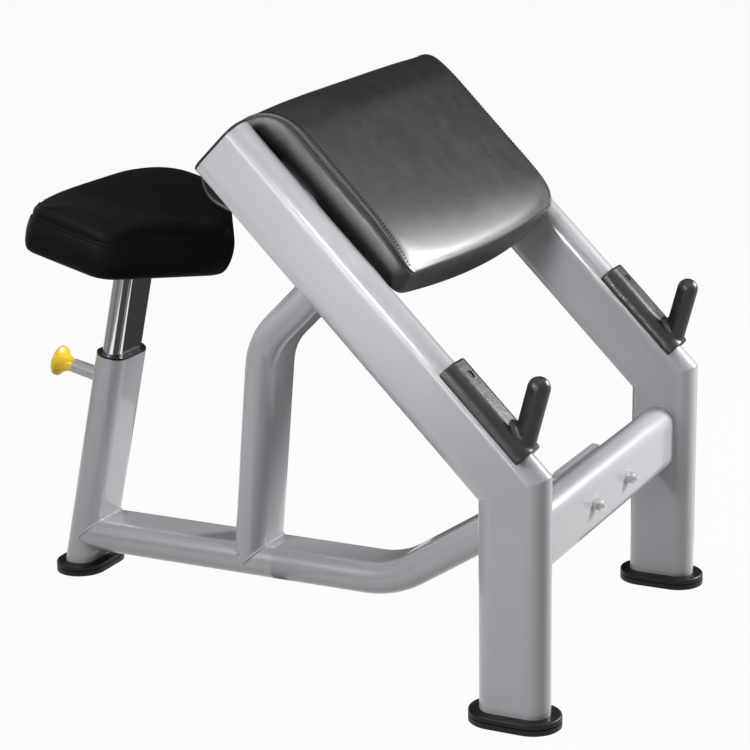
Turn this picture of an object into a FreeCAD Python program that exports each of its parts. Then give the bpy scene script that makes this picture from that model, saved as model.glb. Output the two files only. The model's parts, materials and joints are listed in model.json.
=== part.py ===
"""Preacher curl bench, a parametric model in millimetres.

+Z is up, +Y runs from the bar hooks to the seat and +X is to the right when looking along +Y. The origin
is on the floor, in the middle of the bench's length and width.
"""
import FreeCAD
import Part
import Sketcher
import math
import os
import re

# Driving dimensions: lengths in millimetres, names ending in angle, rise or lean in degrees
SIZES = {
    # Flat-oval tube of the main frame
    "tube_depth": 120,
    "tube_width": 60,
    "tube_wall": 3,
    # Layout of the frame
    "footprint_length": 1156,
    "frame_spacing": 708,
    "bend_height": 419,
    "arm_angle": 45,
    "arm_length": 740,
    "crossbar_height": 286,
    "base_height": 74,
    "base_rise": 32.7,
    "base_bend_radius": 180,
    "strut_distance": 720,
    "strut_lean": 5.5,
    "strut_station": 528,
    "strut_bend_radius": 120,
    "seat_lean": 12.5,
    "sleeve_length": 422,
    # Clearances and the overrun of cuts
    "fit_gap": 0.3,
    "slide_gap": 0.3,
    "overrun": 20,
    # Rubber feet
    "foot_height": 20,
    "foot_overhang": 18,
    "foot_groove_height": 2,
    "foot_groove_depth": 2.5,
    "foot_edge_radius": 4,
    "foot_plug_height": 28,
    # Caps in the arms' upper ends
    "cap_thickness": 5,
    "cap_plug_depth": 20,
    "cap_edge_radius": 2,
    # Bolted joint between the base tube and the front crossbar
    "flange_width": 200,
    "flange_height": 100,
    "flange_thickness": 10,
    "flange_corner_radius": 14,
    "joint_bolt_spacing": 158,
    "joint_bolt_diameter": 12,
    "joint_bolt_flats": 19,
    "joint_head_height": 7.5,
    "joint_nut_height": 10,
    "joint_bolt_tip": 6,
    "joint_washer_diameter": 26,
    "joint_washer_thickness": 2.5,
    # Bar hooks: a saddle over the arm's round top edge and a leaning peg
    "hook_start": 47,
    "hook_length": 185,
    "hook_half_width": 36,
    "hook_land": 22,
    "hook_skirt": 14,
    "hook_crest": 12,
    "hook_edge_radius": 4,
    "peg_station": 65,
    "peg_lean": 30,
    "peg_diameter": 37,
    "peg_length": 117,
    "peg_root_radius": 9,
    "hook_screw_station": 202,
    "hook_screw_diameter": 6,
    "hook_screw_head": 14,
    "hook_screw_length": 26,
    # Arm pad: a slope panel with a rolled chest end
    "pad_half_width": 316,
    "pad_front": 366,
    "pad_front_bow": 25,
    "pad_corner_radius": 50,
    "pad_top": 34,
    "pad_crown": 11,
    "pad_base": 20,
    "pad_edge_radius": 11,
    "pad_drawn_in": 6,
    "pad_chest": 765,
    "pad_shoulder_radius": 85,
    "pad_roll_depth": 170,
    "pad_roll_radius": 55,
    "pad_roll_front": 660,
    "pad_roll_rise": 22,
    "pad_wrap": 16,
    "pad_board_thickness": 18,
    # Flat bars that carry the arm pad
    "bracket_offset": 170,
    "bracket_width": 50,
    "bracket_thickness": 10,
    "bracket_start": 400,
    "bracket_length": 250,
    "bracket_bolt_inset": 25,
    # Bolts and tee nuts of both pads
    "pad_bolt_diameter": 8,
    "pad_bolt_flats": 13,
    "pad_bolt_head": 5.5,
    "pad_bolt_length": 24,
    "tee_nut_diameter": 11,
    "tee_nut_flange": 24,
    "tee_nut_thickness": 1.5,
    "tee_nut_length": 10,
    # Seat post, its bush and its glide
    "post_width": 100,
    "post_depth": 40,
    "post_wall": 3,
    "post_margin": 55,
    "bush_wall": 6.4,
    "bush_length": 45,
    "bush_lip": 4,
    "bush_lip_radius": 1.5,
    "glide_height": 20,
    "glide_spigot": 25,
    "hole_pitch": 30,
    "hole_clearance": 0.6,
    # Seat
    "seat_height": 628,
    "seat_thickness": 110,
    "seat_crown": 60,
    "seat_peak": 25,
    "seat_half_width": 222,
    "seat_rear_half_width": 205,
    "seat_rear": 127,
    "seat_shoulder": 60,
    "seat_nose": 190,
    "seat_rear_radius": 35,
    "seat_shoulder_radius": 45,
    "seat_nose_radius": 60,
    "seat_edge_radius": 20,
    "seat_taper_angle": 3,
    "seat_wrap": 18,
    "seat_board_thickness": 18,
    "seat_plate_width": 200,
    "seat_plate_depth": 140,
    "seat_plate_thickness": 8,
    "seat_plate_radius": 12,
    "seat_bolt_inset": 22,
    # Pull pin
    "pin_height": 360,
    "pin_diameter": 10,
    "pin_reach": 11,
    "pin_tip_chamfer": 1.5,
    "pin_collar_diameter": 17,
    "pin_collar_length": 5,
    "pin_collar_offset": 6,
    "pin_grip": 20,
    "housing_diameter": 27,
    "housing_bore": 19,
    "housing_length": 64,
    "housing_end": 8,
    "spring_wire": 1.6,
    "spring_pitch": 5.5,
    "knob_hub_diameter": 25,
    "knob_diameter": 58,
    "knob_length": 40,
    "knob_flare_length": 30,
    "knob_rim": 5,
    "knob_rim_radius": 2,
}

# Counts: holes in the seat post, and the pin's hole at rest counted from the lowest
HOLE_COUNT = 7
REST_HOLE = 1

# Tests of edges: how far from level an edge may be, and how near to an axis it points
LEVEL_SLACK = 1e-4
ALIGNED_SHARE = 0.95

doc = FreeCAD.newDocument("preacher_curl_bench")
sheet = doc.addObject("Spreadsheet::Sheet", "Sizes")
for row, (alias, amount) in enumerate(SIZES.items(), start=1):
    sheet.set(f"A{row}", alias)
    sheet.set(f"B{row}", str(amount))
    sheet.setAlias(f"B{row}", alias)
doc.recompute()

parts = []

# Places shared by several sub-parts, as formulas of the driving dimensions
LEG_GAP = "(frame_spacing - tube_width)"
SLEEVE_LAYERS = "(slide_gap + bush_wall + fit_gap + tube_wall)"
SLEEVE_WIDTH = f"(post_width + 2 * {SLEEVE_LAYERS})"
SLEEVE_DEPTH = f"(post_depth + 2 * {SLEEVE_LAYERS})"
FRAME_TUBE = ("tube_depth", "tube_width")
SLEEVE_TUBE = (SLEEVE_WIDTH, SLEEVE_DEPTH)
UPPER_BAR_DROP = "(pad_base + bracket_thickness + tube_width / 2)"
MITRE_SLOPE = "tan((90 - arm_angle) / 2)"
PLATE_FACE = "((tube_depth + tube_width) / 2)"
POST_FOOT = f"(pin_height - {REST_HOLE} * hole_pitch - post_margin)"
POST_HEAD = "(seat_height - seat_plate_thickness)"
HOUSING_FACE = f"({SLEEVE_DEPTH} / 2)"
HOUSING_TIP = f"({HOUSING_FACE} + housing_length)"
KNOB_DOME = "(knob_length - knob_flare_length - knob_rim)"
DOME_RADIUS = f"(((knob_diameter / 2)^2 + {KNOB_DOME}^2) / (2 * {KNOB_DOME}))"

# Lengths along the floor from the legs' front face: to the sleeve's foot, and to the knob's rearmost point
REAR_DISTANCE = f"(footprint_length - 2 * foot_overhang - {SLEEVE_DEPTH} / 2)"
DOME_CENTRE = f"({HOUSING_TIP} + fit_gap + knob_length - {DOME_RADIUS})"
KNOB_DISTANCE = (f"({REAR_DISTANCE} + {DOME_CENTRE} * cos(seat_lean) - pin_height * sin(seat_lean)"
                 f" + {DOME_RADIUS})")
FRONT_FACE = f"((foot_overhang - {KNOB_DISTANCE}) / 2)"
REAR_AXIS = f"({FRONT_FACE} + {REAR_DISTANCE})"


def bound(text):
    """The formula with each driving size made a reference to its cell."""
    return re.sub(r"[a-z_]+", lambda word: f"Sizes.{word[0]}" if word[0] in SIZES else word[0], text)


def number(text):
    """The formula's value now."""
    return float(sheet.evalExpression(bound(text)))


def bind(thing, prop, text):
    thing.setExpression(prop, bound(text))


def new_body(label):
    body = doc.addObject("PartDesign::Body", label)
    body.Label = label
    body.AllowCompound = True
    return body


def keep(thing, label):
    """Lists an object as a finished sub-part under its own label."""
    thing.Label = label
    parts.append(thing)
    return thing


def place(thing, right="0", along="0", up="0", axis=(1, 0, 0), turn=None):
    rotation = FreeCAD.Rotation()
    if turn:
        rotation = FreeCAD.Rotation(FreeCAD.Vector(*axis), number(turn))
    spot = FreeCAD.Vector(number(right), number(along), number(up))
    thing.Placement = FreeCAD.Placement(spot, rotation)
    for name, text in (("x", right), ("y", along), ("z", up)):
        bind(thing, f"Placement.Base.{name}", text)
    if turn:
        bind(thing, "Placement.Rotation.Angle", turn)


def place_on_floor_line(thing):
    """Floor frame with Y counted from the front face of the legs."""
    place(thing, along=FRONT_FACE)


def place_on_slope(thing, right="0"):
    """Slope frame at the bend: Y runs up the arms and Z stands out of their top face."""
    place(thing, right, FRONT_FACE, "bend_height", turn="arm_angle")


def place_on_sleeve(thing):
    """Seat frame at the sleeve's foot: Z runs up the sleeve and Y points to the rear."""
    place(thing, along=REAR_AXIS, up="foot_height", turn="seat_lean")


def sketch_on(body, plane, right="0", up="0", out="0", axis=(1, 0, 0), turn=None):
    """A sketch on one of the body's origin planes, moved in that plane and out of it."""
    sketch = body.newObject("Sketcher::SketchObject", f"{body.Name}_outline")
    support = next(item for item in body.Origin.OriginFeatures if item.Role == plane)
    sketch.AttachmentSupport = [(support, "")]
    sketch.MapMode = "FlatFace"
    rotation = FreeCAD.Rotation()
    if turn:
        rotation = FreeCAD.Rotation(FreeCAD.Vector(*axis), number(turn))
    offset = FreeCAD.Vector(number(right), number(up), number(out))
    sketch.AttachmentOffset = FreeCAD.Placement(offset, rotation)
    for name, text in (("x", right), ("y", up), ("z", out)):
        if text != "0":
            bind(sketch, f"AttachmentOffset.Base.{name}", text)
    if turn:
        bind(sketch, "AttachmentOffset.Rotation.Angle", turn)
    return sketch


def hold(sketch, kind, *target, text):
    """Adds a dimension to the sketch and binds it to a formula."""
    index = sketch.addConstraint(Sketcher.Constraint(kind, *target, number(text)))
    sketch.renameConstraint(index, f"size_{index}")
    bind(sketch, f"Constraints.size_{index}", text)


def pin_down(sketch, geometry, point, across, up):
    """Fixes a point of the sketch: on an axis where its coordinate is zero, by a dimension elsewhere."""
    for kind, text, axis in (("DistanceX", across, -2), ("DistanceY", up, -1)):
        if text == "0":
            sketch.addConstraint(Sketcher.Constraint("PointOnObject", geometry, point, axis))
        else:
            hold(sketch, kind, geometry, point, text=text)


def add_circle(sketch, across, up, diameter):
    centre = FreeCAD.Vector(number(across), number(up), 0)
    ring = Part.Circle(centre, FreeCAD.Vector(0, 0, 1), number(diameter) / 2)
    index = sketch.addGeometry(ring, False)
    pin_down(sketch, index, 3, across, up)
    hold(sketch, "Diameter", index, text=diameter)


def add_oval(sketch, length, width, along_x=False):
    """A flat oval about the sketch's origin: two straight sides and two half-round ends."""
    run = number(f"({length} - {width}) / 2")
    radius = number(width) / 2
    turn = 0 if along_x else math.pi / 2

    def spot(along, across):
        return FreeCAD.Vector(along, across, 0) if along_x else FreeCAD.Vector(-across, along, 0)

    def end(centre, start):
        ring = Part.Circle(centre, FreeCAD.Vector(0, 0, 1), radius)
        return Part.ArcOfCircle(ring, start, start + math.pi)

    far_end = sketch.addGeometry(end(spot(run, 0), turn - math.pi / 2), False)
    side = sketch.addGeometry(Part.LineSegment(spot(run, radius), spot(-run, radius)), False)
    near_end = sketch.addGeometry(end(spot(-run, 0), turn + math.pi / 2), False)
    other = sketch.addGeometry(Part.LineSegment(spot(-run, -radius), spot(run, -radius)), False)
    loop = (far_end, side, near_end, other)
    for first, second in zip(loop, loop[1:] + loop[:1]):
        sketch.addConstraint(Sketcher.Constraint("Tangent", first, 2, second, 1))
    for index, sign in ((far_end, ""), (near_end, "-")):
        reach = f"{sign}(({length}) - ({width})) / 2"
        pin_down(sketch, index, 3, reach if along_x else "0", "0" if along_x else reach)
    hold(sketch, "Radius", far_end, text=f"({width}) / 2")
    sketch.addConstraint(Sketcher.Constraint("Equal", far_end, near_end))


def add_outline(sketch, corners):
    """A closed outline. A corner is (across, up), and an arc to the next corner adds its radius and side.

    The side is 1 where the arc's centre is on the left of the way to the next corner, and -1 on the right.
    """
    spots = [FreeCAD.Vector(number(corner[0]), number(corner[1]), 0) for corner in corners]
    ends = []
    for index, corner in enumerate(corners):
        start = spots[index]
        finish = spots[(index + 1) % len(spots)]
        if len(corner) == 2:
            geometry = sketch.addGeometry(Part.LineSegment(start, finish), False)
            ends.append((geometry, 1, 2))
            continue
        radius = number(corner[2])
        side = corner[3]
        chord = finish - start
        left = FreeCAD.Vector(-chord.y, chord.x, 0).normalize()
        rise = math.sqrt(radius ** 2 - chord.Length ** 2 / 4)
        centre = (start + finish) / 2 + left * rise * side
        angles = [math.atan2(spot.y - centre.y, spot.x - centre.x) for spot in (start, finish)][::side]
        ring = Part.Circle(centre, FreeCAD.Vector(0, 0, 1), radius)
        geometry = sketch.addGeometry(Part.ArcOfCircle(ring, *angles), False)
        ends.append((geometry, 1, 2) if side == 1 else (geometry, 2, 1))
        hold(sketch, "Radius", geometry, text=corner[2])
    for (first, _, finish), (second, start, _) in zip(ends, ends[1:] + ends[:1]):
        sketch.addConstraint(Sketcher.Constraint("Coincident", first, finish, second, start))
    for (geometry, start, _), corner in zip(ends, corners):
        pin_down(sketch, geometry, start, corner[0], corner[1])


def add_path(sketch, start, bend_radius, first_angle, second_angle, finish):
    """An open path: a straight run, a tangent bend and a second straight run, with angles from +X."""
    start_spot = FreeCAD.Vector(number(start[0]), number(start[1]), 0)
    finish_spot = FreeCAD.Vector(number(finish[0]), number(finish[1]), 0)
    headings = [math.radians(number(text)) for text in (first_angle, second_angle)]
    ways = [FreeCAD.Vector(math.cos(heading), math.sin(heading), 0) for heading in headings]
    gap = finish_spot - start_spot
    cross = ways[0].x * ways[1].y - ways[0].y * ways[1].x
    corner = start_spot + ways[0] * ((gap.x * ways[1].y - gap.y * ways[1].x) / cross)
    radius = number(bend_radius)
    setback = radius * math.tan(abs(headings[1] - headings[0]) / 2)
    entry = corner - ways[0] * setback
    leave = corner + ways[1] * setback
    side = 1 if cross > 0 else -1
    centre = entry + FreeCAD.Vector(-ways[0].y, ways[0].x, 0) * radius * side
    angles = [math.atan2(spot.y - centre.y, spot.x - centre.x) for spot in (entry, leave)][::side]
    first = sketch.addGeometry(Part.LineSegment(start_spot, entry), False)
    ring = Part.Circle(centre, FreeCAD.Vector(0, 0, 1), radius)
    bend = sketch.addGeometry(Part.ArcOfCircle(ring, *angles), False)
    second = sketch.addGeometry(Part.LineSegment(leave, finish_spot), False)
    bend_ends = (1, 2) if side == 1 else (2, 1)
    sketch.addConstraint(Sketcher.Constraint("Tangent", first, 2, bend, bend_ends[0]))
    sketch.addConstraint(Sketcher.Constraint("Tangent", bend, bend_ends[1], second, 1))
    pin_down(sketch, first, 1, *start)
    pin_down(sketch, second, 2, *finish)
    hold(sketch, "Radius", bend, text=bend_radius)
    for index, heading, text in ((first, headings[0], first_angle), (second, headings[1], second_angle)):
        held = sketch.addConstraint(Sketcher.Constraint("Angle", -1, 1, index, 1, heading))
        sketch.renameConstraint(held, f"size_{held}")
        bind(sketch, f"Constraints.size_{held}", f"({text}) * 1 deg")


def pad(body, sketch, length, both_ways=False, backwards=False, taper=None):
    feature = body.newObject("PartDesign::Pad", f"{body.Name}_pad")
    feature.Profile = sketch
    feature.SideType = "Symmetric" if both_ways else "One side"
    feature.Reversed = backwards
    bind(feature, "Length", length)
    if taper:
        bind(feature, "TaperAngle", taper)
    doc.recompute()
    return feature


def pocket(body, sketch, length, both_ways=False, backwards=False):
    """Cuts the sketch out of the body and makes sure that something was cut."""
    before = body.Shape.Volume
    feature = body.newObject("PartDesign::Pocket", f"{body.Name}_cut")
    feature.Profile = sketch
    feature.SideType = "Symmetric" if both_ways else "One side"
    feature.Reversed = backwards
    bind(feature, "Length", length)
    doc.recompute()
    if body.Shape.Volume >= before:
        raise RuntimeError(f"{body.Label}: a cut removes nothing")
    return feature


def revolve(body, sketch, axis="H_Axis", kind="Revolution"):
    """Turns the sketch about one of its own axes, to add material or, as a Groove, to cut it."""
    feature = body.newObject(f"PartDesign::{kind}", f"{body.Name}_turned")
    feature.Profile = sketch
    feature.ReferenceAxis = (sketch, [axis])
    feature.Angle = 360
    doc.recompute()
    return feature


def sweep(body, section, path):
    feature = body.newObject("PartDesign::AdditivePipe", f"{body.Name}_bent")
    feature.Profile = section
    feature.Spine = path
    doc.recompute()
    return feature


def edges_where(shape, test):
    """Names of the shape's edges that pass the test."""
    return [f"Edge{index}" for index, edge in enumerate(shape.Edges, start=1)
            if not edge.Degenerated and test(edge)]


def fillet(body, base, radius, test):
    feature = body.newObject("PartDesign::Fillet", f"{body.Name}_round")
    feature.Base = (base, edges_where(base.Shape, test))
    bind(feature, "Radius", radius)
    doc.recompute()
    return feature


def level_at(edge, height):
    """True where the whole edge lies at that height of its body."""
    box = edge.BoundBox
    return max(abs(box.ZMin - height), abs(box.ZMax - height)) < LEVEL_SLACK


def straight_along(edge, axis):
    """True for a straight edge that runs along the named axis of its body."""
    if edge.Curve.TypeId != "Part::GeomLine":
        return False
    return abs(getattr(edge.Curve.Direction, axis)) > ALIGNED_SHARE


def standing(edge):
    """True for an edge that climbs along Z over most of its length."""
    return edge.BoundBox.ZLength > ALIGNED_SHARE * edge.Length


def inside(tube, gap="0"):
    """The length and width of what fits in a tube, with a gap all round."""
    return [f"({side} - 2 * (tube_wall + {gap}))" for side in tube]


def tube_section(body, plane, along_x=False, solid=False, tube=FRAME_TUBE, **offsets):
    """A tube's flat-oval section, hollow or solid."""
    section = sketch_on(body, plane, **offsets)
    add_oval(section, *tube, along_x)
    if not solid:
        add_oval(section, *inside(tube), along_x)
    return section


def rectangle(width, depth):
    """Corners of a rectangle about the origin, anticlockwise."""
    return [
        (f"-({width}) / 2", f"-({depth}) / 2"),
        (f"({width}) / 2", f"-({depth}) / 2"),
        (f"({width}) / 2", f"({depth}) / 2"),
        (f"-({width}) / 2", f"({depth}) / 2"),
    ]


def hexagon(across, up, flats):
    turns = range(30, 390, 60)
    return [(f"{across} + {flats} / sqrt(3) * cos({turn})", f"{up} + {flats} / sqrt(3) * sin({turn})")
            for turn in turns]


# Side frames: a mitred leg and arm on each side


def mitred_tube(label, length):
    """A tube along Z whose lower end is cut at half the frame's bend, with its outer face at Y zero."""
    body = new_body(label)
    pad(body, tube_section(body, "XY_Plane", up="tube_depth / 2"), length)
    wedge = sketch_on(body, "YZ_Plane")
    add_outline(wedge, [
        ("-overrun", f"-overrun * {MITRE_SLOPE}"),
        ("tube_depth + overrun", f"(tube_depth + overrun) * {MITRE_SLOPE}"),
        ("tube_depth + overrun", "-overrun"),
        ("-overrun", "-overrun"),
    ])
    pocket(body, wedge, "2 * tube_width", both_ways=True)
    return keep(body, label)


def place_on_arm(thing, right):
    """Arm frame at the bend: Z runs up the arm and Y goes down from its top face."""
    place(thing, right, FRONT_FACE, "bend_height", axis=(-1, 0, 0), turn="90 - arm_angle")


def arm_cap(label):
    body = new_body(label)
    rim = tube_section(body, "XY_Plane", solid=True, up="tube_depth / 2", out="arm_length")
    pad(body, rim, "cap_thickness")
    plug = sketch_on(body, "XY_Plane", up="tube_depth / 2", out="arm_length")
    add_oval(plug, *inside(FRAME_TUBE, "fit_gap"))
    base = pad(body, plug, "cap_plug_depth", backwards=True)
    top = number("arm_length + cap_thickness")
    fillet(body, base, "cap_edge_radius", lambda edge: level_at(edge, top))
    return keep(body, label)


def side_frame(side, right):
    leg = mitred_tube(f"{side}_leg_tube", "bend_height - foot_height")
    place(leg, right, FRONT_FACE, "bend_height", axis=(0, 1, 0), turn="180")
    arm = mitred_tube(f"{side}_arm_tube", "arm_length")
    screw_hole = sketch_on(arm, "XZ_Plane")
    add_circle(screw_hole, "0", "hook_screw_station", "hook_screw_diameter + 2 * fit_gap")
    pocket(arm, screw_hole, "tube_width / 2")
    place_on_arm(arm, right)
    place_on_arm(arm_cap(f"{side}_arm_cap"), right)


# Crossbars and the bolted joint at the front


def front_crossbar():
    body = new_body("front_crossbar")
    pad(body, tube_section(body, "YZ_Plane"), LEG_GAP, both_ways=True)
    holes = sketch_on(body, "XZ_Plane")
    for sign in ("-", ""):
        add_circle(holes, f"{sign}joint_bolt_spacing / 2", "0", "joint_bolt_diameter + 2 * fit_gap")
    pocket(body, holes, "2 * tube_width", both_ways=True)
    place(body, along=f"{FRONT_FACE} + tube_depth / 2", up="crossbar_height")
    keep(body, "front_crossbar")


def upper_crossbar():
    body = new_body("upper_crossbar")
    section = tube_section(body, "YZ_Plane", along_x=True, right="strut_station", up=f"-{UPPER_BAR_DROP}")
    pad(body, section, LEG_GAP, both_ways=True)
    place_on_slope(body)
    keep(body, "upper_crossbar")


def base_flange_plate():
    body = new_body("base_flange_plate")
    face = sketch_on(body, "XZ_Plane", out=f"-{PLATE_FACE}")
    add_outline(face, rectangle("flange_width", "flange_height"))
    plate = pad(body, face, "flange_thickness", backwards=True)
    fillet(body, plate, "flange_corner_radius", lambda edge: straight_along(edge, "y"))
    holes = sketch_on(body, "XZ_Plane")
    for sign in ("-", ""):
        add_circle(holes, f"{sign}joint_bolt_spacing / 2", "0", "joint_bolt_diameter + 2 * fit_gap")
    pocket(body, holes, f"{PLATE_FACE} + flange_thickness + overrun")
    place(body, along=FRONT_FACE, up="crossbar_height")
    keep(body, "base_flange_plate")


def hex_bolts(label, plane, level, spots, flats, head, diameter, shank):
    """A group of hexagon bolts, their heads behind the plane and their shanks in front of it."""
    body = new_body(label)
    heads = sketch_on(body, plane, out=level)
    shanks = sketch_on(body, plane, out=level)
    for across, up in spots:
        add_outline(heads, hexagon(across, up, flats))
        add_circle(shanks, across, up, diameter)
    pad(body, heads, head, backwards=True)
    pad(body, shanks, shank)
    return keep(body, label)


def joint_hardware():
    spots = [(f"{sign}joint_bolt_spacing / 2", "0") for sign in ("-", "")]
    front = "((tube_depth - tube_width) / 2)"
    shank = "tube_width + flange_thickness + joint_washer_thickness + joint_nut_height + joint_bolt_tip"
    bolts = hex_bolts("crossbar_bolts", "XZ_Plane", f"-({PLATE_FACE} + flange_thickness)", spots,
                      "joint_bolt_flats", "joint_head_height", "joint_bolt_diameter", shank)
    washers = new_body("crossbar_washers")
    nuts = new_body("crossbar_nuts")
    washer_rings = sketch_on(washers, "XZ_Plane", out=f"-{front}")
    nut_rings = sketch_on(nuts, "XZ_Plane", out=f"joint_washer_thickness - {front}")
    for across, up in spots:
        add_circle(washer_rings, across, up, "joint_washer_diameter")
        add_outline(nut_rings, hexagon(across, up, "joint_bolt_flats"))
        for rings in (washer_rings, nut_rings):
            add_circle(rings, across, up, "joint_bolt_diameter + 2 * fit_gap")
    pad(washers, washer_rings, "joint_washer_thickness")
    pad(nuts, nut_rings, "joint_nut_height")
    for thing in (bolts, washers, nuts):
        place(thing, along=FRONT_FACE, up="crossbar_height")
    keep(washers, "crossbar_washers")
    keep(nuts, "crossbar_nuts")


# Spine: base tube, strut and sleeve


def sleeve_core():
    """The sleeve's outer form, which the base tube's end is coped to."""
    body = new_body("sleeve_core")
    section = tube_section(body, "XY_Plane", True, True, SLEEVE_TUBE, out=f"-{SLEEVE_WIDTH}")
    pad(body, section, f"{SLEEVE_WIDTH} + sleeve_length")
    place_on_sleeve(body)
    return body


def base_core():
    """The base tube's outer form, which the strut's foot is coped to."""
    body = new_body("base_core")
    section = tube_section(body, "XZ_Plane", along_x=True, solid=True,
                           up="base_height", out="-strut_distance")
    pad(body, section, "4 * tube_depth", both_ways=True)
    place_on_floor_line(body)
    return body


def coped(label, tube, core):
    result = doc.addObject("Part::Cut", f"{label}_coped")
    result.Base = tube
    result.Tool = core
    doc.recompute()
    keep(result, label)


def base_tube():
    body = new_body("base_run")
    start = f"({REAR_DISTANCE} - (base_height - foot_height) * tan(seat_lean))"
    plate_back = f"({PLATE_FACE} + flange_thickness)"
    section = tube_section(body, "XZ_Plane", along_x=True, up="base_height", out=f"-{start}")
    path = sketch_on(body, "YZ_Plane")
    finish = (f"{plate_back} - tube_width * cos(base_rise)", "crossbar_height + tube_width * sin(base_rise)")
    add_path(path, (start, "base_height"), "base_bend_radius", "180", "180 - base_rise", finish)
    sweep(body, section, path)
    trim = sketch_on(body, "YZ_Plane")
    top = "crossbar_height + 2 * tube_depth"
    add_outline(trim, [("-tube_depth", "0"), (plate_back, "0"), (plate_back, top), ("-tube_depth", top)])
    pocket(body, trim, "2 * tube_depth", both_ways=True)
    place_on_floor_line(body)
    coped("base_tube", body, sleeve_core())


def strut_tube():
    body = new_body("strut_run")
    section = tube_section(body, "XY_Plane", along_x=True, up="strut_distance", out="base_height",
                           turn="strut_lean")
    path = sketch_on(body, "YZ_Plane")
    drop = f"({UPPER_BAR_DROP} + tube_width / 2)"
    finish = (f"strut_station * cos(arm_angle) + {drop} * sin(arm_angle)",
              f"bend_height + strut_station * sin(arm_angle) - {drop} * cos(arm_angle)")
    add_path(path, ("strut_distance", "base_height"), "strut_bend_radius", "90 + strut_lean",
             "90 + arm_angle", finish)
    sweep(body, section, path)
    place_on_floor_line(body)
    coped("strut_tube", body, base_core())


def seat_sleeve():
    body = new_body("seat_sleeve")
    section = tube_section(body, "XY_Plane", True, tube=SLEEVE_TUBE, out=f"-{SLEEVE_DEPTH}")
    pad(body, section, f"{SLEEVE_DEPTH} + sleeve_length")
    floor_cut = sketch_on(body, "YZ_Plane")
    add_outline(floor_cut, [
        (f"-{SLEEVE_DEPTH}", f"{SLEEVE_DEPTH} * tan(seat_lean)"),
        (f"-{SLEEVE_DEPTH}", f"-2 * {SLEEVE_DEPTH}"),
        (SLEEVE_DEPTH, f"-2 * {SLEEVE_DEPTH}"),
        (SLEEVE_DEPTH, f"-{SLEEVE_DEPTH} * tan(seat_lean)"),
    ])
    pocket(body, floor_cut, f"2 * {SLEEVE_WIDTH}", both_ways=True)
    pin_hole = sketch_on(body, "XZ_Plane")
    add_circle(pin_hole, "0", "pin_height", "pin_diameter + 2 * slide_gap")
    pocket(body, pin_hole, SLEEVE_DEPTH)
    place_on_sleeve(body)
    keep(body, "seat_sleeve")


def sleeve_bush():
    body = new_body("sleeve_bush")
    bore = ("post_width + 2 * slide_gap", "post_depth + 2 * slide_gap")
    lip = sketch_on(body, "XY_Plane", out="sleeve_length")
    add_oval(lip, *SLEEVE_TUBE, along_x=True)
    add_oval(lip, *bore, along_x=True)
    pad(body, lip, "bush_lip")
    wall = sketch_on(body, "XY_Plane", out="sleeve_length")
    add_oval(wall, *inside(SLEEVE_TUBE, "fit_gap"), along_x=True)
    add_oval(wall, *bore, along_x=True)
    base = pad(body, wall, "bush_length", backwards=True)
    top = number("sleeve_length + bush_lip")
    fillet(body, base, "bush_lip_radius", lambda edge: level_at(edge, top))
    place_on_sleeve(body)
    keep(body, "sleeve_bush")


# Feet


def foot(label, tube, along_x=False, lean="0"):
    """A rubber foot: two ledges with a groove between them and a plug that fills the tube's end."""
    body = new_body(label)
    length, width = [f"({side} + 2 * foot_overhang)" for side in tube]
    ledge = "((foot_height - foot_groove_height) / 2)"
    levels = (
        ("0", "0", ledge),
        ("foot_groove_depth", ledge, "foot_groove_height"),
        ("0", f"({ledge} + foot_groove_height)", ledge),
    )
    for inset, level, height in levels:
        layer = sketch_on(body, "XY_Plane", out=level)
        add_oval(layer, f"{length} - 2 * {inset}", f"{width} - 2 * {inset}", along_x)
        base = pad(body, layer, height)
    top = number("foot_height")
    fillet(body, base, "foot_edge_radius", lambda edge: level_at(edge, top))
    sunk = "(foot_height / 2)"
    plug = sketch_on(body, "XY_Plane", up=f"{sunk} * sin({lean})", out=f"foot_height - {sunk} * cos({lean})",
                     turn=lean)
    add_oval(plug, *inside(tube, "fit_gap"), along_x)
    pad(body, plug, f"foot_plug_height + {sunk}")
    return keep(body, label)


def feet():
    for side, right in SIDES:
        place(foot(f"{side}_front_foot", FRAME_TUBE), right, f"{FRONT_FACE} + tube_depth / 2")
    place(foot("rear_foot", SLEEVE_TUBE, along_x=True, lean="seat_lean"), along=REAR_AXIS)


# Bar hooks


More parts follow.
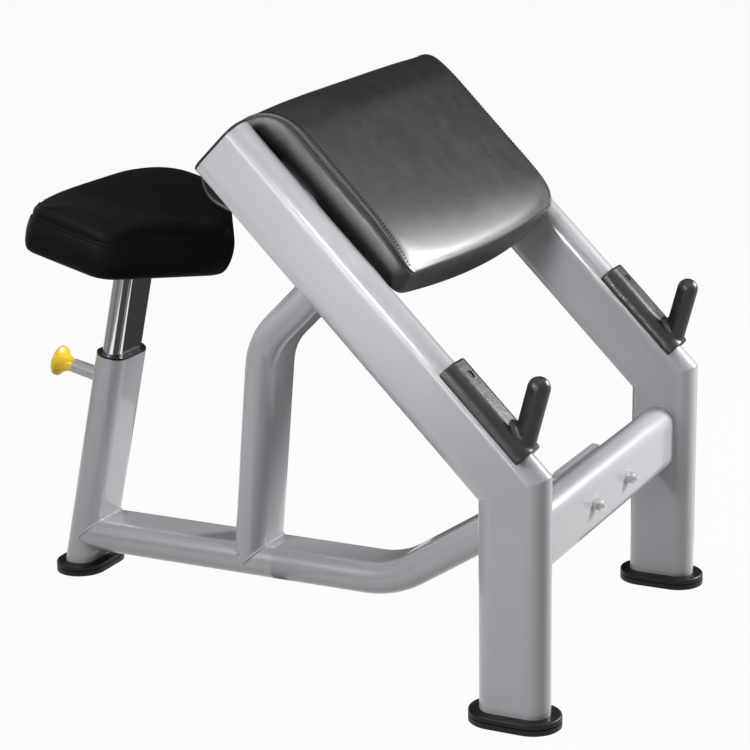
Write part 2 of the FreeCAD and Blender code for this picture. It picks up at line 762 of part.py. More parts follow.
def bar_hook(label, right):
    """A saddle over the arm's round edge, with a flat land on top and a leaning peg that has a ball end."""
    body = new_body(label)
    height = "(hook_crest + hook_skirt)"
    flank_radius = f"((hook_half_width - hook_land / 2)^2 + {height}^2) / (2 * {height})"
    section = sketch_on(body, "XZ_Plane", out="-hook_start")
    add_outline(section, [
        ("hook_half_width", "-hook_skirt", flank_radius, 1),
        ("hook_land / 2", "hook_crest"),
        ("-hook_land / 2", "hook_crest", flank_radius, 1),
        ("-hook_half_width", "-hook_skirt"),
    ])
    saddle = pad(body, section, "hook_length", backwards=True)
    ends = [number("hook_start"), number("hook_start + hook_length")]

    base_level = number("-hook_skirt")

    def end_edge(edge):
        """True for an edge of either end, apart from the one along the saddle's foot."""
        box = edge.BoundBox
        at_end = any(abs(box.YMin - end) < LEVEL_SLACK and abs(box.YMax - end) < LEVEL_SLACK for end in ends)
        return at_end and not level_at(edge, base_level)

    fillet(body, saddle, "hook_edge_radius", end_edge)
    peg = sketch_on(body, "YZ_Plane", right="peg_station", axis=(0, 0, -1), turn="peg_lean")
    add_outline(peg, [
        ("0", "0"),
        ("peg_diameter / 2", "0"),
        ("peg_diameter / 2", "peg_length - peg_diameter / 2", "peg_diameter / 2", 1),
        ("0", "peg_length"),
    ])
    hook = revolve(body, peg, "V_Axis")
    lean = math.radians(number("peg_lean"))
    foot_point = FreeCAD.Vector(0, number("peg_station"), 0)
    way = FreeCAD.Vector(0, math.sin(lean), math.cos(lean))
    radius = number("peg_diameter") / 2
    tip = number("peg_length - peg_diameter")

    def root_edge(edge):
        """True for the edge where the peg leaves the saddle."""
        if edge.Curve.TypeId == "Part::GeomLine":
            return False
        first, last = edge.ParameterRange
        for share in (0, 0.25, 0.5, 0.75, 1):
            arm = edge.valueAt(first + (last - first) * share) - foot_point
            reach = arm.dot(way)
            if abs((arm - way * reach).Length - radius) > LEVEL_SLACK * radius or not 0 < reach < tip:
                return False
        return True

    fillet(body, hook, "peg_root_radius", root_edge)
    arm_edge = sketch_on(body, "XZ_Plane", out="-hook_start")
    add_circle(arm_edge, "0", "-tube_width / 2", "tube_width + 2 * fit_gap")
    pocket(body, arm_edge, "hook_length + overrun")
    sink = sketch_on(body, "YZ_Plane", right="hook_screw_station")
    cone = "(hook_screw_head - hook_screw_diameter) / 2"
    shank = "hook_screw_diameter / 2 + fit_gap"
    add_outline(sink, [
        ("0", "-overrun"),
        (shank, "-overrun"),
        (shank, f"{SCREW_TOP} - {cone}"),
        ("hook_screw_head / 2 + fit_gap", SCREW_TOP),
        ("hook_screw_head / 2 + fit_gap", "hook_crest + overrun"),
        ("0", "hook_crest + overrun"),
    ])
    revolve(body, sink, "V_Axis", "Groove")
    place_on_slope(body, right)
    keep(body, label)


def hook_screws():
    body = new_body("hook_screws")
    profile = sketch_on(body, "YZ_Plane", right="hook_screw_station", out="-frame_spacing / 2")
    cone = "(hook_screw_head - hook_screw_diameter) / 2"
    add_outline(profile, [
        ("0", f"{SCREW_TOP} - hook_screw_length"),
        ("hook_screw_diameter / 2", f"{SCREW_TOP} - hook_screw_length"),
        ("hook_screw_diameter / 2", f"{SCREW_TOP} - {cone}"),
        ("hook_screw_head / 2", SCREW_TOP),
        ("0", SCREW_TOP),
    ])
    screw = revolve(body, profile, "V_Axis")
    pair = body.newObject("PartDesign::Mirrored", "hook_screw_pair")
    pair.Originals = [screw]
    pair.MirrorPlane = (next(item for item in body.Origin.OriginFeatures if item.Role == "YZ_Plane"), [""])
    body.Tip = pair
    doc.recompute()
    place_on_slope(body)
    keep(body, "hook_screws")


# Arm pad and what carries it


def pad_brackets():
    for side, sign in (("left", "-"), ("right", "")):
        body = new_body(f"{side}_pad_bracket")
        face = sketch_on(body, "XY_Plane", right=f"{sign}bracket_offset",
                         up="bracket_start + bracket_length / 2", out="-pad_base - bracket_thickness")
        add_outline(face, rectangle("bracket_width", "bracket_length"))
        bar = pad(body, face, "bracket_thickness")
        fillet(body, bar, "bracket_width / 4", lambda edge: straight_along(edge, "z"))
        holes = sketch_on(body, "XY_Plane")
        for across, up in PAD_BOLT_SPOTS:
            if across.startswith("-") == bool(sign):
                add_circle(holes, across, up, "pad_bolt_diameter + 2 * fit_gap")
        pocket(body, holes, "tube_depth")
        place_on_slope(body)
        keep(body, f"{side}_pad_bracket")


def tee_nut_seats(body, level, spots):
    """Stepped holes for tee nuts, from the level of the board's top down."""
    for diameter, depth in (("tee_nut_flange", "tee_nut_thickness"), ("tee_nut_diameter", "tube_depth")):
        holes = sketch_on(body, "XY_Plane", out=level)
        for across, up in spots:
            add_circle(holes, across, up, f"{diameter} + 2 * fit_gap")
        pocket(body, holes, depth)


def tee_nuts(label, level, spots):
    body = new_body(label)
    steps = (("tee_nut_flange", "tee_nut_thickness"), ("tee_nut_diameter", "tee_nut_length"))
    for diameter, length in steps:
        rings = sketch_on(body, "XY_Plane", out=level)
        for across, up in spots:
            add_circle(rings, across, up, diameter)
            add_circle(rings, across, up, "pad_bolt_diameter + 2 * fit_gap")
        pad(body, rings, length, backwards=True)
    return keep(body, label)


def pad_boards():
    board = new_body("arm_pad_board")
    face = sketch_on(board, "XY_Plane", out="-pad_base")
    add_outline(face, PAD_BOARD)
    pad(board, face, "pad_board_thickness")
    tee_nut_seats(board, "pad_board_thickness - pad_base", PAD_BOLT_SPOTS)
    chest = new_body("chest_board")
    end = sketch_on(chest, "YZ_Plane")
    add_outline(end, CHEST_BOARD)
    pad(chest, end, "2 * (pad_half_width - pad_wrap)", both_ways=True)
    for body in (board, chest):
        place_on_slope(body)
    keep(board, "arm_pad_board")
    keep(chest, "chest_board")


def arm_pad_slab(body):
    """A crowned slab with drawn-in sides, bent over the shoulder and down the chest end."""
    crest = "(pad_top + pad_crown)"
    start = "pad_front - overrun"
    section = sketch_on(body, "XZ_Plane", out=f"-({start})")
    crown_radius = "((pad_half_width - pad_edge_radius)^2 + pad_crown^2) / (2 * pad_crown)"
    add_outline(section, [
        ("pad_drawn_in - pad_half_width", "-pad_base"),
        ("pad_half_width - pad_drawn_in", "-pad_base"),
        ("pad_half_width", "pad_top - pad_edge_radius", "pad_edge_radius", 1),
        ("pad_half_width - pad_edge_radius", "pad_top", crown_radius, 1),
        ("pad_edge_radius - pad_half_width", "pad_top", "pad_edge_radius", 1),
        ("-pad_half_width", "pad_top - pad_edge_radius"),
    ])
    path = sketch_on(body, "YZ_Plane")
    chest_line = f"pad_chest - {crest}"
    finish = (chest_line, "-pad_roll_depth")
    add_path(path, (start, "0"), f"pad_shoulder_radius - {crest}", "0", "-90", finish)
    sweep(body, section, path)
    filling = sketch_on(body, "YZ_Plane")
    add_outline(filling, [
        ("pad_roll_front", "0"),
        (chest_line, "0"),
        (chest_line, "-pad_roll_depth"),
        ("pad_roll_front", "-pad_roll_depth"),
    ])
    pad(body, filling, "2 * (pad_half_width - pad_drawn_in)", both_ways=True)


def bow_pad_front(body):
    """Cuts the slab's front to a bow that runs into round corners."""
    bow_radius = "((pad_half_width^2 + pad_front_bow^2) / (2 * pad_front_bow))"
    reach = f"({bow_radius} - pad_corner_radius)"
    corner_across = "(pad_half_width - pad_corner_radius)"
    corner_drop = f"sqrt({reach}^2 - {corner_across}^2)"
    corner_along = f"(pad_front + {bow_radius} - {corner_drop})"
    touch_across = f"({corner_across} * {bow_radius} / {reach})"
    touch_along = f"(pad_front + {bow_radius} - {corner_drop} * {bow_radius} / {reach})"
    outside = "(pad_half_width + overrun)"
    ahead = "pad_front - 2 * overrun"
    bow = sketch_on(body, "XY_Plane")
    add_outline(bow, [
        ("pad_half_width", corner_along, "pad_corner_radius", -1),
        (touch_across, touch_along, bow_radius, -1),
        (f"-{touch_across}", touch_along, "pad_corner_radius", -1),
        ("-pad_half_width", corner_along),
        (f"-{outside}", corner_along),
        (f"-{outside}", ahead),
        (outside, ahead),
        (outside, corner_along),
    ])
    pocket(body, bow, "4 * tube_depth", both_ways=True)


def arm_pad_cushion():
    """The slope panel, its shoulder and a rolled chest end, hollowed for the boards."""
    body = new_body("arm_pad_cushion")
    arm_pad_slab(body)
    bow_pad_front(body)
    low = "-pad_roll_depth - overrun"
    roll = sketch_on(body, "YZ_Plane")
    add_outline(roll, [
        ("pad_roll_front - overrun", low),
        ("pad_chest + overrun", low),
        ("pad_chest + overrun", "pad_roll_radius - pad_roll_depth"),
        ("pad_chest", "pad_roll_radius - pad_roll_depth", "pad_roll_radius", -1),
        ("pad_chest - pad_roll_radius", "-pad_roll_depth"),
        ("pad_roll_front", "pad_roll_rise - pad_roll_depth"),
        ("pad_roll_front - overrun", "pad_roll_rise - pad_roll_depth"),
    ])
    pocket(body, roll, "4 * pad_half_width", both_ways=True)
    board = sketch_on(body, "XY_Plane", out="-pad_base - overrun")
    add_outline(board, PAD_BOARD)
    pocket(body, board, "overrun + pad_board_thickness", backwards=True)
    chest = sketch_on(body, "YZ_Plane")
    add_outline(chest, CHEST_BOARD)
    pocket(body, chest, "2 * (pad_half_width - pad_wrap)", both_ways=True)
    place_on_slope(body)
    keep(body, "arm_pad_cushion")


def pad_fasteners():
    bolts = hex_bolts("arm_pad_bolts", "XY_Plane", "-pad_base - bracket_thickness", PAD_BOLT_SPOTS,
                      "pad_bolt_flats", "pad_bolt_head", "pad_bolt_diameter", "pad_bolt_length")
    nuts = tee_nuts("arm_pad_tee_nuts", "pad_board_thickness - pad_base", PAD_BOLT_SPOTS)
    place_on_slope(bolts)
    place_on_slope(nuts)


# Seat


def seat_post():
    body = new_body("seat_post")
    section = sketch_on(body, "XY_Plane", out=POST_FOOT)
    add_oval(section, "post_width", "post_depth", along_x=True)
    add_oval(section, "post_width - 2 * post_wall", "post_depth - 2 * post_wall", along_x=True)
    pad(body, section, f"{POST_HEAD} - {POST_FOOT}")
    holes = sketch_on(body, "XZ_Plane")
    for index in range(HOLE_COUNT):
        level = f"pin_height + {index - REST_HOLE} * hole_pitch"
        add_circle(holes, "0", level, "pin_diameter + 2 * hole_clearance")
    pocket(body, holes, "post_depth")
    place_on_sleeve(body)
    keep(body, "seat_post")


def post_glide():
    body = new_body("post_glide")
    shoe = sketch_on(body, "XY_Plane", out=POST_FOOT)
    add_oval(shoe, *inside(SLEEVE_TUBE, "slide_gap"), along_x=True)
    pad(body, shoe, "glide_height", backwards=True)
    spigot = sketch_on(body, "XY_Plane", out=POST_FOOT)
    wall = "2 * (post_wall + fit_gap)"
    add_oval(spigot, f"post_width - {wall}", f"post_depth - {wall}", along_x=True)
    pad(body, spigot, "glide_spigot")
    place_on_sleeve(body)
    keep(body, "post_glide")


def seat_plate():
    body = new_body("seat_plate")
    face = sketch_on(body, "XY_Plane", out=POST_HEAD)
    add_outline(face, rectangle("seat_plate_width", "seat_plate_depth"))
    plate = pad(body, face, "seat_plate_thickness")
    fillet(body, plate, "seat_plate_radius", lambda edge: straight_along(edge, "z"))
    holes = sketch_on(body, "XY_Plane", out="seat_height")
    for across, up in SEAT_BOLT_SPOTS:
        add_circle(holes, across, up, "pad_bolt_diameter + 2 * fit_gap")
    pocket(body, holes, "2 * seat_plate_thickness")
    place_on_sleeve(body)
    keep(body, "seat_plate")


def seat_outline(inset):
    """The seat's five corners, drawn in by an inset: a straight rear, flared sides and a blunt nose."""
    return [
        (f"{inset} - seat_rear_half_width", f"seat_rear - {inset}"),
        (f"{inset} - seat_half_width", "-seat_shoulder"),
        ("0", f"{inset} - seat_nose"),
        (f"seat_half_width - {inset}", "-seat_shoulder"),
        (f"seat_rear_half_width - {inset}", f"seat_rear - {inset}"),
    ]


def round_seat_corners(body, base, inset):
    """Rounds the standing edges: the nose, the shoulders and the rear corners."""
    radii = (
        ("seat_nose_radius", lambda spot: abs(spot.x) < LEVEL_SLACK),
        ("seat_shoulder_radius", lambda spot: abs(spot.x) > LEVEL_SLACK and spot.y < 0),
        ("seat_rear_radius", lambda spot: spot.y > 0),
    )
    for radius, at_corner in radii:
        base = fillet(body, base, f"{radius} - {inset}", lambda edge: (
            standing(edge) and at_corner(edge.BoundBox.Center)))
    return base


def seat_board():
    body = new_body("seat_board")
    face = sketch_on(body, "XY_Plane", out="seat_height")
    add_outline(face, seat_outline("seat_wrap"))
    round_seat_corners(body, pad(body, face, "seat_board_thickness"), "seat_wrap")
    tee_nut_seats(body, "seat_height + seat_board_thickness", SEAT_BOLT_SPOTS)
    place_on_sleeve(body)
    keep(body, "seat_board")


def seat_cushion():
    """A crowned cushion whose sides are drawn in towards the board."""
    body = new_body("seat_cushion")
    face = sketch_on(body, "XY_Plane", out="seat_height + seat_thickness")
    add_outline(face, seat_outline("0"))
    block = pad(body, face, "seat_thickness", backwards=True, taper="-seat_taper_angle")
    round_seat_corners(body, block, "0")
    crown = sketch_on(body, "YZ_Plane", right="-seat_peak", up="seat_height + seat_thickness")
    crown_radius = "((seat_half_width^2 + seat_crown^2) / (2 * seat_crown))"
    far = "(seat_rear + seat_nose)"
    far_drop = f"({crown_radius} - sqrt({crown_radius}^2 - {far}^2))"
    add_outline(crown, [
        (f"-{far}", f"-{far_drop}", crown_radius, -1),
        (far, f"-{far_drop}"),
        (far, "overrun"),
        (f"-{far}", "overrun"),
    ])
    crowned = pocket(body, crown, "4 * seat_half_width", both_ways=True)
    base_level = number("seat_height")

    def top_edge(edge):
        if standing(edge):
            return False
        return edge.BoundBox.ZMin > base_level + number("seat_thickness") / 2

    fillet(body, crowned, "seat_edge_radius", top_edge)
    board = sketch_on(body, "XY_Plane", out="seat_height")
    add_outline(board, seat_outline("seat_wrap"))
    pocket(body, board, "seat_board_thickness", backwards=True)
    place_on_sleeve(body)
    keep(body, "seat_cushion")


def seat_fasteners():
    bolts = hex_bolts("seat_bolts", "XY_Plane", POST_HEAD, SEAT_BOLT_SPOTS,
                      "pad_bolt_flats", "pad_bolt_head", "pad_bolt_diameter", "pad_bolt_length")
    nuts = tee_nuts("seat_tee_nuts", "seat_height + seat_board_thickness", SEAT_BOLT_SPOTS)
    place_on_sleeve(bolts)
    place_on_sleeve(nuts)


# Pull pin


def pin_housing():
    body = new_body("pin_housing")
    face = sketch_on(body, "XZ_Plane", up="pin_height", out=f"-{HOUSING_FACE}")
    add_circle(face, "0", "0", "housing_diameter")
    pad(body, face, "housing_length", backwards=True)
    cuts = (("housing_bore", "housing_length - housing_end"),
            ("pin_diameter + 2 * slide_gap", "housing_length + overrun"))
    for diameter, depth in cuts:
        mouth = sketch_on(body, "XZ_Plane", up="pin_height", out=f"-{HOUSING_FACE}")
        add_circle(mouth, "0", "0", diameter)
        pocket(body, mouth, depth)
    place_on_sleeve(body)
    keep(body, "pin_housing")


def plunger_pin():
    body = new_body("plunger_pin")
    profile = sketch_on(body, "YZ_Plane", up="pin_height")
    tip = "post_depth / 2 - pin_reach"
    tail = f"{HOUSING_TIP} + pin_grip"
    add_outline(profile, [
        (tip, "0"),
        (tip, "pin_diameter / 2 - pin_tip_chamfer"),
        (f"{tip} + pin_tip_chamfer", "pin_diameter / 2"),
        (COLLAR_FACE, "pin_diameter / 2"),
        (COLLAR_FACE, "pin_collar_diameter / 2"),
        (COLLAR_BACK, "pin_collar_diameter / 2"),
        (COLLAR_BACK, "pin_diameter / 2"),
        (tail, "pin_diameter / 2"),
        (tail, "0"),
    ])
    revolve(body, profile)
    place_on_sleeve(body)
    keep(body, "plunger_pin")


def pull_knob():
    """A trumpet-shaped knob with a thin round rim and a domed end."""
    body = new_body("pull_knob")
    start = f"({HOUSING_TIP} + fit_gap)"
    hub = "(knob_hub_diameter / 2)"
    rim = "(knob_diameter / 2)"
    bore = "pin_diameter / 2 + fit_gap"
    flare = f"(knob_flare_length^2 + ({rim} - {hub})^2) / (2 * ({rim} - {hub}))"
    profile = sketch_on(body, "YZ_Plane", up="pin_height")
    add_outline(profile, [
        (start, bore),
        (start, hub, flare, 1),
        (f"{start} + knob_flare_length", rim),
        (f"{start} + knob_flare_length + knob_rim", rim, DOME_RADIUS, -1),
        (f"{start} + knob_length", "0"),
        (f"{HOUSING_TIP} + pin_grip + fit_gap", "0"),
        (f"{HOUSING_TIP} + pin_grip + fit_gap", bore),
    ])
    turned = revolve(body, profile)
    widest = number(rim)

    def rim_edge(edge):
        return edge.Curve.TypeId == "Part::GeomCircle" and abs(edge.Curve.Radius - widest) < LEVEL_SLACK

    fillet(body, turned, "knob_rim_radius", rim_edge)
    place_on_sleeve(body)
    keep(body, "pull_knob")


def pin_spring():
    body = new_body("pin_spring")
    wire = sketch_on(body, "YZ_Plane", up="pin_height")
    start = f"{COLLAR_BACK} + fit_gap + spring_wire / 2"
    stop = f"{HOUSING_TIP} - housing_end - fit_gap - spring_wire / 2"
    middle = "(housing_bore + pin_diameter) / 4"
    add_outline(wire, [(f"{start} {across} spring_wire / 2", f"{middle} {up} spring_wire / 2")
                       for across, up in ("--", "+-", "++", "-+")])
    coil = body.newObject("PartDesign::AdditiveHelix", "pin_spring_coil")
    coil.Profile = wire
    coil.ReferenceAxis = (wire, ["H_Axis"])
    coil.Mode = "pitch-height-angle"
    bind(coil, "Pitch", "spring_pitch")
    bind(coil, "Height", f"({stop}) - ({start})")
    doc.recompute()
    place_on_sleeve(body)
    keep(body, "pin_spring")


SIDES = (("left", "-frame_spacing / 2"), ("right", "frame_spacing / 2"))
SCREW_TOP = "(hook_crest - hook_screw_diameter / 3)"
COLLAR_FACE = f"({HOUSING_FACE} + pin_collar_offset)"
COLLAR_BACK = f"({HOUSING_FACE} + pin_collar_offset + pin_collar_length)"

# Bolt places: four under the arm pad and four under the seat
PAD_BOLT_SPOTS = [(f"{sign}bracket_offset", f"bracket_start + {place_up}")
                  for sign in ("-", "")
                  for place_up in ("bracket_bolt_inset", "bracket_length - bracket_bolt_inset")]
SEAT_BOLT_SPOTS = [(f"{right}(seat_plate_width / 2 - seat_bolt_inset)",
                    f"{up}(seat_plate_depth / 2 - seat_bolt_inset)")
                   for right in ("-", "") for up in ("-", "")]

# Boards in the arm pad: the slope board's plan and the chest board's side view
BOARD_BACK = "(pad_roll_front + pad_board_thickness)"
BOARD_FRONT = "(pad_front + pad_front_bow + pad_wrap)"
BOARD_SIDE = "(pad_half_width - pad_wrap)"
PAD_BOARD = [
    (f"-{BOARD_SIDE}", BOARD_FRONT),
    (BOARD_SIDE, BOARD_FRONT),
    (BOARD_SIDE, BOARD_BACK),
    (f"-{BOARD_SIDE}", BOARD_BACK),
]
CHEST_BOARD = [
    ("pad_roll_front", "pad_roll_rise - pad_roll_depth + pad_wrap"),
    (BOARD_BACK, "pad_roll_rise - pad_roll_depth + pad_wrap"),
    (BOARD_BACK, "-pad_base"),
    ("pad_roll_front", "-pad_base"),
]

for name, place_right in SIDES:
    side_frame(name, place_right)
    bar_hook(f"{name}_bar_hook", place_right)
front_crossbar()
upper_crossbar()
base_flange_plate()
joint_hardware()
base_tube()
strut_tube()
seat_sleeve()
sleeve_bush()
feet()
hook_screws()
pad_brackets()
pad_boards()
arm_pad_cushion()
pad_fasteners()
seat_post()
post_glide()
seat_plate()
seat_board()
seat_cushion()
seat_fasteners()
pin_housing()
plunger_pin()
pull_knob()
pin_spring()

doc.recompute()
for thing in doc.Objects:
    if {"Invalid", "Error"} & set(thing.State):
        raise RuntimeError(f"{thing.Label} failed: {thing.State}")
os.makedirs("parts", exist_ok=True)
for part in parts:
    if part.Shape.isNull() or not part.Shape.isValid() or not part.Shape.Solids:
        raise RuntimeError(f"{part.Label} has no valid solid")
    part.Shape.exportStep(f"parts/{part.Label}.step")
    print(part.Label, len(part.Shape.Solids), round(part.Shape.Volume))
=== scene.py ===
"""Looks of the preacher curl bench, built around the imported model.

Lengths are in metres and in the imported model's frame: +Z is up and +Y runs from the bar hooks to the seat.
"""
import json
import math

import bmesh
import bpy
import numpy as np
from mathutils import Matrix, Vector
from mathutils.bvhtree import BVHTree


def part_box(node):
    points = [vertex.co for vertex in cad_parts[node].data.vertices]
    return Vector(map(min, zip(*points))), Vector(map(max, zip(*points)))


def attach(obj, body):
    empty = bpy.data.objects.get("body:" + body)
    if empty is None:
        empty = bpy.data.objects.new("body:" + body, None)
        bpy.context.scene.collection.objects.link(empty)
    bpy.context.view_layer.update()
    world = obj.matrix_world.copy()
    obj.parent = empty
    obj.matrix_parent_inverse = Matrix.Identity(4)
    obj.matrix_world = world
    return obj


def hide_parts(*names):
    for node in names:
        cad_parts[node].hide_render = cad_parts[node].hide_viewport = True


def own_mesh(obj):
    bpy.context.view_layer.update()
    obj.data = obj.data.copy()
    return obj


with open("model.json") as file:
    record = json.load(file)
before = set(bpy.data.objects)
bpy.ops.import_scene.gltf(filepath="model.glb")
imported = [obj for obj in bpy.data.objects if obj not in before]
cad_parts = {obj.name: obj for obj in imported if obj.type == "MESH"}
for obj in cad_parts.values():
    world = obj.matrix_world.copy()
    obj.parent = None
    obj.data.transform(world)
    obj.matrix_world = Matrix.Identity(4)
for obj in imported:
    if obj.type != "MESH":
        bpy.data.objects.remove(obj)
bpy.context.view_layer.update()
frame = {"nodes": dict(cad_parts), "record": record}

MM = 0.001

# Frames of the bench: the arms' slope and the seat's leaning sleeve
ARM_ANGLE = math.radians(45)
SEAT_LEAN = math.radians(12.5)
LEG_LOW, LEG_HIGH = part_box("left_leg_tube")
REAR_FOOT_LOW, REAR_FOOT_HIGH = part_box("rear_foot")
SLOPE = Matrix.Translation((0, LEG_LOW.y, LEG_HIGH.z)) @ Matrix.Rotation(ARM_ANGLE, 4, "X")
SLEEVE = (Matrix.Translation((0, (REAR_FOOT_LOW.y + REAR_FOOT_HIGH.y) / 2, LEG_LOW.z))
          @ Matrix.Rotation(SEAT_LEAN, 4, "X"))

# Camera of the photograph: what it looks at, from where and with which lens
CAMERA_TARGET = Vector((0, -0.08902, 0.44132))
CAMERA_DISTANCE = 4.0961
CAMERA_AZIMUTH = math.radians(-63.793)
CAMERA_ELEVATION = math.radians(15.526)
CAMERA_ROLL = math.radians(-0.926)
CAMERA_LENS_MM = 111.64
CAMERA_SENSOR_MM = 36

FLOOR_RADIUS = 40

# How much of the floor's look is plain white, its grey for the rest, and the room's light on the bench
FLOOR_GLOW_SHARE = 0.96
FLOOR_GREY = 0.35
WORLD_LIGHT = 0.05

# Covers blown up by a short cloth simulation, how sharp their seams stay and how full they are
PUFF_PRESSURE = 4
PUFF_FRAMES = 20
PUFF_REACH = 0.004
PUFF_SMOOTHING = 8
PUFF_LEAST_MOVE = 1e-9
SEAM_CREASE = 1.0

# Stitches: their pitch and size in metres, the groove in millimetres that they pull into the vinyl,
# and rings along a stitch as shares of its length, width and lift
STITCH_PITCH = 0.006
STITCH_LENGTH = 0.0038
STITCH_WIDTH = 0.0021
STITCH_SIDES = 6
GROOVE_DEPTH = 0.8
GROOVE_WIDTH = 2
STITCH_SHARES = ((-0.5, 0.4, -0.3), (-0.28, 0.95, 0.2), (0, 1, 0.3), (0.28, 0.95, 0.2),
                 (0.5, 0.4, -0.3))


def make_camera():
    camera = bpy.data.objects.new("camera", bpy.data.cameras.new("camera"))
    camera.data.lens = CAMERA_LENS_MM
    camera.data.sensor_width = CAMERA_SENSOR_MM
    camera.data.clip_end = 4 * FLOOR_RADIUS
    turn = (Matrix.Rotation(CAMERA_AZIMUTH, 4, "Z")
            @ Matrix.Rotation(math.pi / 2 - CAMERA_ELEVATION, 4, "X")
            @ Matrix.Rotation(CAMERA_ROLL, 4, "Z"))
    back = turn.to_3x3() @ Vector((0, 0, 1))
    camera.matrix_world = Matrix.Translation(CAMERA_TARGET + back * CAMERA_DISTANCE) @ turn
    bpy.context.scene.collection.objects.link(camera)
    bpy.context.scene.camera = camera


class Nodes:
    """A material's node tree, with short calls for the nodes that the materials here use."""

    def __init__(self, name, color, roughness, metallic=0.0, sockets=()):
        self.material = bpy.data.materials.new(name)
        self.material.use_nodes = True
        self.tree = self.material.node_tree
        self.shader = self.tree.nodes["Principled BSDF"]
        self.shader.inputs["Base Color"].default_value = (*color, 1)
        self.shader.inputs["Roughness"].default_value = roughness
        self.shader.inputs["Metallic"].default_value = metallic
        for socket, amount in dict(sockets).items():
            self.shader.inputs[socket].default_value = amount
        self.place = self.add("ShaderNodeTexCoord").outputs["Object"]

    def add(self, kind, **inputs):
        node = self.tree.nodes.new(kind)
        for name, value in inputs.items():
            socket = node.inputs[name.replace("_", " ").title()]
            if isinstance(value, bpy.types.NodeSocket):
                self.tree.links.new(value, socket)
            else:
                socket.default_value = value
        return node

    def noise(self, scale, detail=2.0, roughness=0.5):
        node = self.add("ShaderNodeTexNoise", vector=self.place, scale=scale, detail=detail,
                        roughness=roughness)
        return node.outputs["Fac"]

    def cells(self, scale, feature="F1"):
        node = self.add("ShaderNodeTexVoronoi", vector=self.place, scale=scale)
        node.feature = feature
        return node.outputs["Distance"]

    def ramp(self, fac, low, high, start=0.0, end=1.0):
        """Colours, or greys where plain numbers are given, from low at start to high at end."""
        node = self.add("ShaderNodeValToRGB", fac=fac)
        for element, spot, value in zip(node.color_ramp.elements, (start, end), (low, high)):
            element.position = spot
            element.color = (*value, 1) if isinstance(value, tuple) else (value, value, value, 1)
        return node.outputs["Color"]

    def color(self, socket):
        self.tree.links.new(socket, self.shader.inputs["Base Color"])

    def roughness(self, socket):
        self.tree.links.new(socket, self.shader.inputs["Roughness"])

    def bump(self, height, depth, strength=1.0, under=None):
        """A bump of that depth in metres, over another bump where one is given."""
        node = self.add("ShaderNodeBump", height=height, distance=depth, strength=strength)
        if under:
            self.tree.links.new(under, node.inputs["Normal"])
        self.tree.links.new(node.outputs["Normal"], self.shader.inputs["Normal"])
        return node.outputs["Normal"]


def paint_material():
    """Silver-grey powder coat: a fine orange peel under a clear gloss, with a faint flake."""
    nodes = Nodes("silver_powder_coat", (0.42, 0.418, 0.445), 0.32,
                  sockets={"Coat Weight": 0.6, "Coat Roughness": 0.05})
    flake = nodes.cells(2600)
    nodes.color(nodes.ramp(flake, (0.405, 0.403, 0.43), (0.44, 0.437, 0.465), 0.1, 0.9))
    nodes.roughness(nodes.ramp(nodes.noise(90, 3), 0.28, 0.34, 0.3, 0.7))
    nodes.bump(nodes.noise(260, 2), 0.0002, 0.03)
    return nodes.material


def vinyl_material(name, color, specular, dull, bright):
    """Upholstery vinyl: a leather grain of small cells over soft handling marks."""
    nodes = Nodes(name, color, dull, sockets={"Specular IOR Level": specular})
    nodes.roughness(nodes.ramp(nodes.noise(26, 4, 0.6), bright, dull, 0.3, 0.7))
    soft = nodes.bump(nodes.noise(34, 3), 0.003, 0.04)
    nodes.bump(nodes.cells(700, "DISTANCE_TO_EDGE"), 0.0004, 0.35, under=soft)
    return nodes.material


def hook_material():
    """Moulded black polymer: a gloss over the mottled grain of its mould."""
    nodes = Nodes("black_moulded_polymer", (0.01, 0.01, 0.011), 0.34, sockets={"Specular IOR Level": 0.45})
    nodes.roughness(nodes.ramp(nodes.noise(110, 3, 0.6), 0.27, 0.42, 0.35, 0.65))
    soft = nodes.bump(nodes.noise(130, 3, 0.6), 0.002, 0.16)
    nodes.bump(nodes.cells(450, "DISTANCE_TO_EDGE"), 0.0004, 0.2, under=soft)
    return nodes.material


def rubber_material():
    nodes = Nodes("black_rubber", (0.005, 0.005, 0.005), 0.42, sockets={"Specular IOR Level": 0.25})
    nodes.roughness(nodes.ramp(nodes.noise(120, 3), 0.36, 0.54, 0.3, 0.7))
    nodes.bump(nodes.noise(900, 2), 0.0002, 0.2)
    return nodes.material


def plastic_material():
    nodes = Nodes("black_plastic", (0.008, 0.008, 0.008), 0.45, sockets={"Specular IOR Level": 0.25})
    nodes.roughness(nodes.ramp(nodes.noise(140, 3), 0.38, 0.5, 0.3, 0.7))
    nodes.bump(nodes.noise(500, 2), 0.0002, 0.08)
    return nodes.material


def chrome_material():
    """Polished chrome, a little hazier in patches."""
    nodes = Nodes("post_chrome", (0.82, 0.83, 0.85), 0.08, metallic=1.0)
    nodes.roughness(nodes.ramp(nodes.noise(60, 3), 0.05, 0.11, 0.3, 0.7))
    return nodes.material


def zinc_material():
    nodes = Nodes("zinc_plated_steel", (0.62, 0.62, 0.63), 0.32, metallic=1.0)
    nodes.color(nodes.ramp(nodes.noise(180, 3), (0.5, 0.5, 0.51), (0.68, 0.68, 0.69), 0.3, 0.7))
    nodes.roughness(nodes.ramp(nodes.noise(240, 3), 0.24, 0.42, 0.3, 0.7))
    return nodes.material


def black_steel_material():
    nodes = Nodes("blackened_steel", (0.03, 0.03, 0.032), 0.38, metallic=1.0)
    nodes.roughness(nodes.ramp(nodes.noise(300, 3), 0.3, 0.46, 0.3, 0.7))
    return nodes.material


